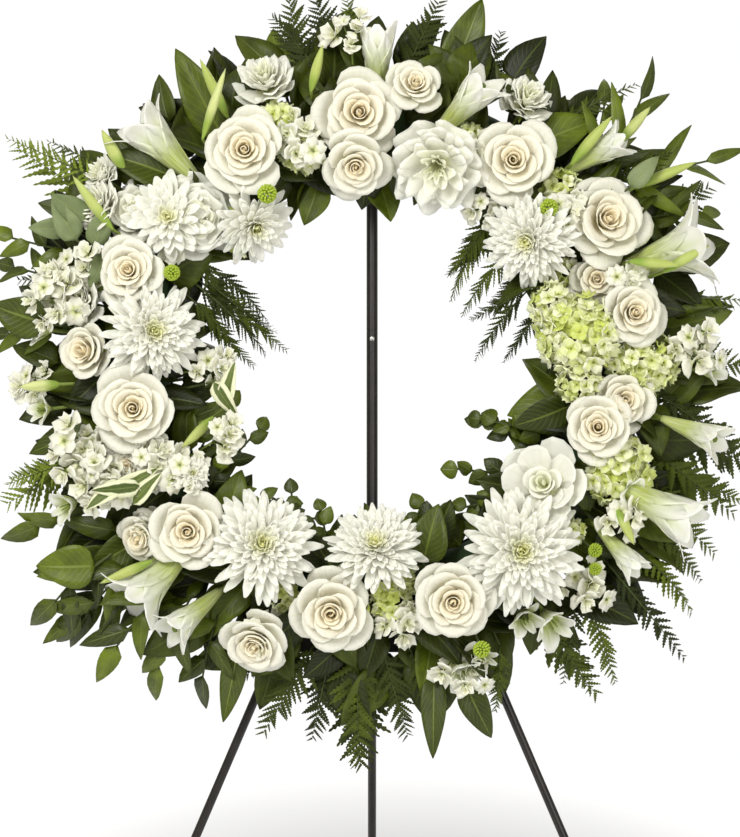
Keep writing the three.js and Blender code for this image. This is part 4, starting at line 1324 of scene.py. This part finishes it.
# Each stem: base clock and radius, the way it points, length, forward, and its leaves' length and width.
RUSCUS_STEMS = {
    "outer": [(236, 0.300, 224, 0.112, 0.030, 0.064, 0.019), (230, 0.320, 216, 0.086, 0.040, 0.062, 0.019),
              (226, 0.310, 240, 0.106, 0.024, 0.060, 0.018), (222, 0.315, 222, 0.080, 0.034, 0.060, 0.018),
              (217, 0.310, 208, 0.078, 0.030, 0.056, 0.017), (211, 0.305, 198, 0.068, 0.026, 0.050, 0.016),
              (290, 0.305, 282, 0.088, 0.024, 0.046, 0.013), (283, 0.300, 296, 0.088, 0.020, 0.046, 0.013),
              (49, 0.290, 20, 0.084, 0.036, 0.054, 0.013), (51, 0.305, 32, 0.089, 0.030, 0.059, 0.013),
              (56, 0.310, 66, 0.095, 0.034, 0.061, 0.013), (62, 0.300, 78, 0.084, 0.030, 0.054, 0.012),
              (276, 0.305, 268, 0.074, 0.020, 0.044, 0.012), (241, 0.305, 250, 0.080, 0.020, 0.056, 0.018)],
    "inner": [(232, 0.215, 42, 0.082, 0.030, 0.024, 0.014), (229, 0.212, 96, 0.074, 0.036, 0.022, 0.013),
              (220, 0.210, 88, 0.078, 0.030, 0.022, 0.013), (240, 0.212, 30, 0.070, 0.022, 0.024, 0.014),
              (112, 0.212, 280, 0.090, 0.030, 0.024, 0.016), (124, 0.210, 268, 0.090, 0.034, 0.024, 0.016),
              (132, 0.208, 258, 0.074, 0.030, 0.022, 0.015), (118, 0.210, 296, 0.080, 0.020, 0.024, 0.016),
              (180, 0.208, 40, 0.056, 0.034, 0.020, 0.013), (192, 0.208, 350, 0.050, 0.030, 0.020, 0.013),
              (160, 0.210, 330, 0.050, 0.030, 0.022, 0.014), (204, 0.210, 8, 0.056, 0.026, 0.022, 0.013)],
}


def ruscus_stems(name, rows, seed, gap, droop, tip):
    bm = start_plant()
    rand = random.Random(seed)
    for clock, radius, points, length, forward, leaf_length, leaf_width in rows:
        base = on_ring(clock, radius, forward)
        add_stem(bm, stem_foot(clock, radius), base, 0.0011)
        add_ruscus(bm, base, heading(points, 0.2), length, rand, leaf_length, leaf_width, droop, gap, tip)
    ruscus_piece(name, bm)


ruscus_stems("ruscus_outer_stems", RUSCUS_STEMS["outer"], 72, 0.32, 0.8, 0.58)
ruscus_stems("ruscus_inner_stems", RUSCUS_STEMS["inner"], 73, 0.55, 0.5, 0.72)

TALL_LEAF_LENGTH = 0.098
TALL_LEAF_WIDTH = 0.040


def tall_leaf(node):
    bm = start_plant()
    foot, way, reach, _ = stem_line(node)
    base = foot + way * (reach - TALL_LEAF_LENGTH)
    add_stem(bm, foot, foot + way * (reach - TALL_LEAF_LENGTH + 0.004), 0.0018)
    place = lay(base, way, Vector((-0.35, 0, 1)), 0.35)
    add_leaf(bm, place, TALL_LEAF_LENGTH, TALL_LEAF_WIDTH, random.Random(3), 0.45, 0.12, 0.72, (6, 14))
    thicken(piece(node + "_leaf", bm, [salal_skin, stem_skin], [node]), 0.0006)


tall_leaf("salal_top_right")

# ---- Small filler flowers, green buttons and pale leaves ----
# Little five-petalled white blossoms in loose clusters, round lime-green buttons, and a few pale or
# cream-edged leaves.


def blossom_mesh():
    """One unit blossom: five notched petals round a green bead."""
    bm = start_plant()
    for k in range(5):
        turn = Matrix.Rotation(k * math.tau / 5, 4, "Z") @ Matrix.Translation((0, 0.02, 0))

        def shape(u, v):
            wide = 0.25 * math.sin(math.pi * (0.08 + 0.80 * v ** 0.9)) ** 0.7
            long = 0.5 * v - 0.05 * (1 - abs(u)) * v ** 6
            return Vector((u * wide, long, 0.20 * v - 0.16 * v * v + 0.08 * u * u * v))

        add_sheet(bm, shape, 2, 3, turn)
    add_bead(bm, 0.05)
    return mesh_from(bm, "blossom")


blossom = blossom_mesh()
filler_petal = petal_finish("filler_petal", (0.90, 0.89, 0.76), (0.82, 0.84, 0.46), (0.76, 0.80, 0.36),
                            veins=9.0, scatter=0.2)

# Each cluster: how far right and up of the ring's middle, forward, how wide, how many blossoms, their size.
BLOSSOM_CLUSTERS = [
    (-0.300, -0.095, 0.070, 0.063, 9, 0.027), (-0.272, -0.128, 0.072, 0.058, 8, 0.026),
    (-0.222, -0.112, 0.078, 0.063, 9, 0.026), (-0.185, -0.118, 0.082, 0.038, 5, 0.023),
    (-0.158, -0.012, 0.060, 0.042, 5, 0.022), (-0.322, 0.060, 0.064, 0.063, 8, 0.027),
    (-0.300, 0.090, 0.064, 0.053, 6, 0.026), (-0.345, -0.025, 0.040, 0.038, 5, 0.022),
    (0.330, 0.010, 0.060, 0.053, 6, 0.027), (0.196, 0.145, 0.078, 0.044, 6, 0.023),
    (0.100, 0.205, 0.076, 0.042, 5, 0.023), (-0.078, 0.218, 0.072, 0.048, 7, 0.024),
    (-0.148, -0.080, 0.078, 0.032, 4, 0.024), (0.215, -0.232, 0.060, 0.053, 6, 0.026),
    (0.092, -0.318, 0.048, 0.053, 6, 0.027), (0.030, -0.270, 0.060, 0.042, 5, 0.024),
    (0.258, -0.165, 0.066, 0.042, 5, 0.026), (-0.112, -0.282, 0.060, 0.036, 4, 0.023),
    (0.118, 0.150, 0.060, 0.038, 5, 0.023), (-0.022, 0.335, 0.060, 0.042, 5, 0.023),
    (-0.205, 0.118, 0.060, 0.038, 4, 0.024), (0.255, 0.072, 0.072, 0.036, 4, 0.024),
]


def core_below(x, y):
    """The nearest place on the foam's core circle."""
    return Vector((x, y, 0)).normalized() * CORE_RADIUS


def blossom_clusters():
    """Each cluster forks from one stem. Most of its blossoms are double, and every fourth is single."""
    bm = start_plant()
    rand = random.Random(81)
    for x, y, forward, width, count, size in BLOSSOM_CLUSTERS:
        middle = Vector((x, y, forward))
        core = core_below(x, y)
        out = (middle - core).normalized()
        fork = middle - out * 0.022
        add_stem(bm, core, fork, 0.0010, segments=4)
        for k in range(count):
            reach = 0.5 * width * math.sqrt((k + 0.5) / count)
            turn = k * GOLDEN_ANGLE
            lift = rand.uniform(-0.012, 0.008)
            point = middle + Vector((reach * math.cos(turn), reach * math.sin(turn), lift))
            sway = Vector((rand.uniform(-0.01, 0.01), rand.uniform(-0.01, 0.01), 0.03))
            way = (point - fork + sway).normalized()
            scale = size * rand.uniform(0.7, 1.2)
            place = face_along(point, way, rand.uniform(0, 6))
            if k % 4 == 1:
                copy_shape(bm, blossom, place @ Matrix.Scale(scale, 4), rand.uniform(0.0, 0.3))
            else:
                low = place @ Matrix.Translation((0, 0, -0.4 * scale))
                add_frilled(bm, low, 1.15 * scale, 0.7 * scale, rand, petals=9, frill=0.08, upright=0.4,
                            steps=(4, 5), cup=False)
            add_stem(bm, fork, point, 0.0005, segments=3)
    return bm


thicken(piece("white_filler_blossoms", blossom_clusters(), [filler_petal, calyx_skin]),
        THIN_PETAL_THICKNESS)

PALE_VEIN = (0.22, 0.26, 0.08)
pale_skin = leaf_finish("pale_skin", (0.10, 0.14, 0.05), (0.30, 0.35, 0.17), PALE_VEIN, 0.5, 0.3, 6.0)
cream_edged_skin = leaf_finish("cream_edged_skin", (0.06, 0.09, 0.015), (0.18, 0.23, 0.05), PALE_VEIN,
                               0.45, 0.3, 6.0, (0.74, 0.75, 0.50))

# Each of these leaves: how far right and up, forward, the way it points, length and width.
PALE_LEAVES = [(-0.300, 0.118, 0.055, 330, 0.050, 0.026), (-0.288, 0.140, 0.058, 300, 0.046, 0.026),
               (-0.282, 0.112, 0.060, 20, 0.044, 0.024), (-0.310, 0.132, 0.050, 265, 0.040, 0.022),
               (-0.270, 0.105, 0.060, 200, 0.040, 0.022), (0.262, 0.172, 0.060, 40, 0.044, 0.020)]
CREAM_EDGED_LEAVES = [(-0.160, -0.026, 0.060, 150, 0.044, 0.018), (-0.150, -0.050, 0.060, 10, 0.046, 0.018),
                      (-0.262, -0.140, 0.080, 65, 0.056, 0.020), (-0.240, -0.150, 0.082, 40, 0.044, 0.018),
                      (-0.250, -0.128, 0.084, 235, 0.046, 0.018), (-0.232, -0.132, 0.086, 260, 0.050, 0.018)]


def pale_leaves(name, rows, seed, skin):
    bm = start_plant()
    rand = random.Random(seed)
    for x, y, forward, points, length, width in rows:
        base = Vector((x, y, forward))
        add_stem(bm, core_below(x, y), base, 0.0011, segments=5)
        place = lay(base, heading(points, 0.4), roll=rand.uniform(-0.4, 0.4))
        add_leaf(bm, place, length, width, rand, 0.2, 0.6)
    thicken(piece(name, bm, [skin, stem_skin]), LEAF_THICKNESS)


pale_leaves("pale_leaves", PALE_LEAVES, 83, pale_skin)
pale_leaves("cream_edged_leaves", CREAM_EDGED_LEAVES, 84, cream_edged_skin)

# Each button: how far right and up, forward, and width.
GREEN_BUTTONS = [(-0.104, 0.159, 0.096, 0.020), (0.177, 0.147, 0.096, 0.019), (0.111, -0.299, 0.080, 0.018),
                 (-0.200, 0.082, 0.090, 0.017), (0.227, -0.198, 0.066, 0.015), (0.227, -0.217, 0.064, 0.014),
                 (0.158, 0.182, 0.080, 0.014), (-0.232, 0.160, 0.060, 0.014)]
BUTTON_FLORETS = 70


def green_buttons():
    """Round flower buds of tightly packed florets."""
    bm = start_plant()
    rand = random.Random(82)
    for x, y, forward, width in GREEN_BUTTONS:
        top = Vector((x, y, forward))
        core = core_below(x, y)
        way = (top - core + Vector((0, 0, 0.04))).normalized()
        middle = top - way * width * 0.4
        add_stem(bm, core, middle, 0.0013)
        place = face_along(middle, way)
        for k in range(BUTTON_FLORETS):
            t = (k + 0.5) / BUTTON_FLORETS
            polar = math.acos(1 - 1.75 * t)
            turn = k * GOLDEN_ANGLE
            ray = Vector((math.sin(polar) * math.cos(turn), math.sin(polar) * math.sin(turn),
                          0.85 * math.cos(polar)))
            add_stem(bm, place @ (ray * width * 0.30), place @ (ray * width * rand.uniform(0.48, 0.51)),
                     0.075 * width, 0.060 * width, 5, SKIN)
    return bm


button_skin = leaf_finish("button_skin", (0.40, 0.52, 0.05), (0.55, 0.66, 0.10), (0.42, 0.52, 0.08),
                          0.55, 0.3, 1.0)
piece("green_buttons", green_buttons(), [button_skin, stem_skin])

# ---- Floor, light and camera ----
# A round of white paper with a painted glow that rises towards its rim, so that it runs into the white studio
# round it, and a painted soft shadow under and behind the stand. One soft key light stands at the upper left,
# with a broad fill at the right and a light behind.

PAPER_RADIUS = 2.35
# Painted shadow: the middle and reach of a dimmer patch in the paper's glow, under and behind the stand, and
# the glow's strength from the patch out to the rim.
PAINTED_SHADOW_MIDDLE = (0.04, 0.55, 0)
PAINTED_SHADOW_REACH = (0.80, 1.72, 1.0)
PAINTED_GLOW_AND_SHADOW = [(0.0, (0.60, 0.60, 0.60)), (0.19, (0.40, 0.40, 0.41)), (0.36, (0.25, 0.25, 0.26)),
             (0.6, (0.06, 0.06, 0.06))]


def paper_round():
    bm = bmesh.new()
    bmesh.ops.create_circle(bm, cap_ends=True, segments=128, radius=PAPER_RADIUS)
    return mesh_from(bm, "paper_round")


def paper_with_painted_light():
    """White paper with painted light: a glow that rises towards its rim, dimmed to a painted soft shadow
    under and behind the stand.
    """
    material, tree, shader = new_finish("paper_with_painted_light")
    place = tree.nodes.new("ShaderNodeTexCoord")
    centre = tree.nodes.new("ShaderNodeMapping")
    centre.vector_type = "TEXTURE"
    centre.inputs["Location"].default_value = PAINTED_SHADOW_MIDDLE
    centre.inputs["Scale"].default_value = PAINTED_SHADOW_REACH
    glow_and_shadow_gradient = tree.nodes.new("ShaderNodeTexGradient")
    glow_and_shadow_gradient.gradient_type = "SPHERICAL"
    tree.links.new(place.outputs["Object"], centre.inputs["Vector"])
    tree.links.new(centre.outputs["Vector"], glow_and_shadow_gradient.inputs["Vector"])
    # Painted light and shadow: the paper glows by emission, strongest at its rim and weakest in the painted
    # shadow under the stand.
    tree.links.new(colour_ramp(tree, glow_and_shadow_gradient.outputs["Fac"], PAINTED_GLOW_AND_SHADOW), shader.inputs["Emission Color"])
    shader.inputs["Emission Strength"].default_value = 1.0
    tree.links.new(spread_value(tree, object_noise(tree, 40), 0.85, 0.95), shader.inputs["Roughness"])
    shader.inputs["Base Color"].default_value = (0.56, 0.565, 0.58, 1)
    return material


floor = bpy.data.objects.new("paper_round", paper_round())
floor.data.materials.append(paper_with_painted_light())
scene.collection.objects.link(floor)


def soft_light(name, place, size, power):
    """A square soft box that shines on the middle of the wreath."""
    lamp = bpy.data.lights.new(name, "AREA")
    lamp.shape = "SQUARE"
    lamp.size = size
    lamp.energy = power
    made = bpy.data.objects.new(name, lamp)
    made.location = place
    made.rotation_euler = (ring_centre - Vector(place)).to_track_quat("-Z", "Y").to_euler()
    scene.collection.objects.link(made)


soft_light("key_light", (-1.1, -2.2, 2.4), size=1.2, power=55)
soft_light("fill_light", (1.8, -2.6, 1.3), size=1.4, power=25)
soft_light("back_light", (0.6, 2.4, 2.6), size=1.6, power=30)

# The studio itself is white to look at, and lights the flowers with less than it shows.
SEEN_STRENGTH = 1.02
LIGHT_STRENGTH = 0.50
world = bpy.data.worlds.new("studio")
world.use_nodes = True
seen = world.node_tree.nodes["Background"]
seen.inputs["Color"].default_value = (1, 1, 1, 1)
seen.inputs["Strength"].default_value = SEEN_STRENGTH
light = world.node_tree.nodes.new("ShaderNodeBackground")
light.inputs["Color"].default_value = (1, 0.97, 0.87, 1)
light.inputs["Strength"].default_value = LIGHT_STRENGTH
ray = world.node_tree.nodes.new("ShaderNodeLightPath")
choice = world.node_tree.nodes.new("ShaderNodeMixShader")
world.node_tree.links.new(ray.outputs["Is Camera Ray"], choice.inputs["Fac"])
world.node_tree.links.new(light.outputs["Background"], choice.inputs[1])
world.node_tree.links.new(seen.outputs["Background"], choice.inputs[2])
world.node_tree.links.new(choice.outputs["Shader"], world.node_tree.nodes["World Output"].inputs["Surface"])
scene.world = world
scene.view_settings.view_transform = "Standard"
scene.view_settings.look = "None"

# The camera looks down a little at the wreath from the front, with a long lens.
VIEW_DISTANCE = 3.0
VIEW_HEIGHT = 0.837
VIEW_PITCH = math.radians(5)
VIEW_MIDDLE = Vector((-0.0022, -0.1, -0.0513))
SENSOR_SIZE = 36
camera_data = bpy.data.cameras.new("camera")
camera_data.sensor_width = SENSOR_SIZE
camera_data.lens = SENSOR_SIZE * VIEW_DISTANCE / VIEW_HEIGHT
camera = bpy.data.objects.new("camera", camera_data)
middle = ring_centre + VIEW_MIDDLE
camera.location = middle + Vector((0, -math.cos(VIEW_PITCH), math.sin(VIEW_PITCH))) * VIEW_DISTANCE
camera.rotation_euler = (math.pi / 2 - VIEW_PITCH, 0, 0)
scene.collection.objects.link(camera)
scene.camera = camera

bpy.data.meshes.remove(scratch)
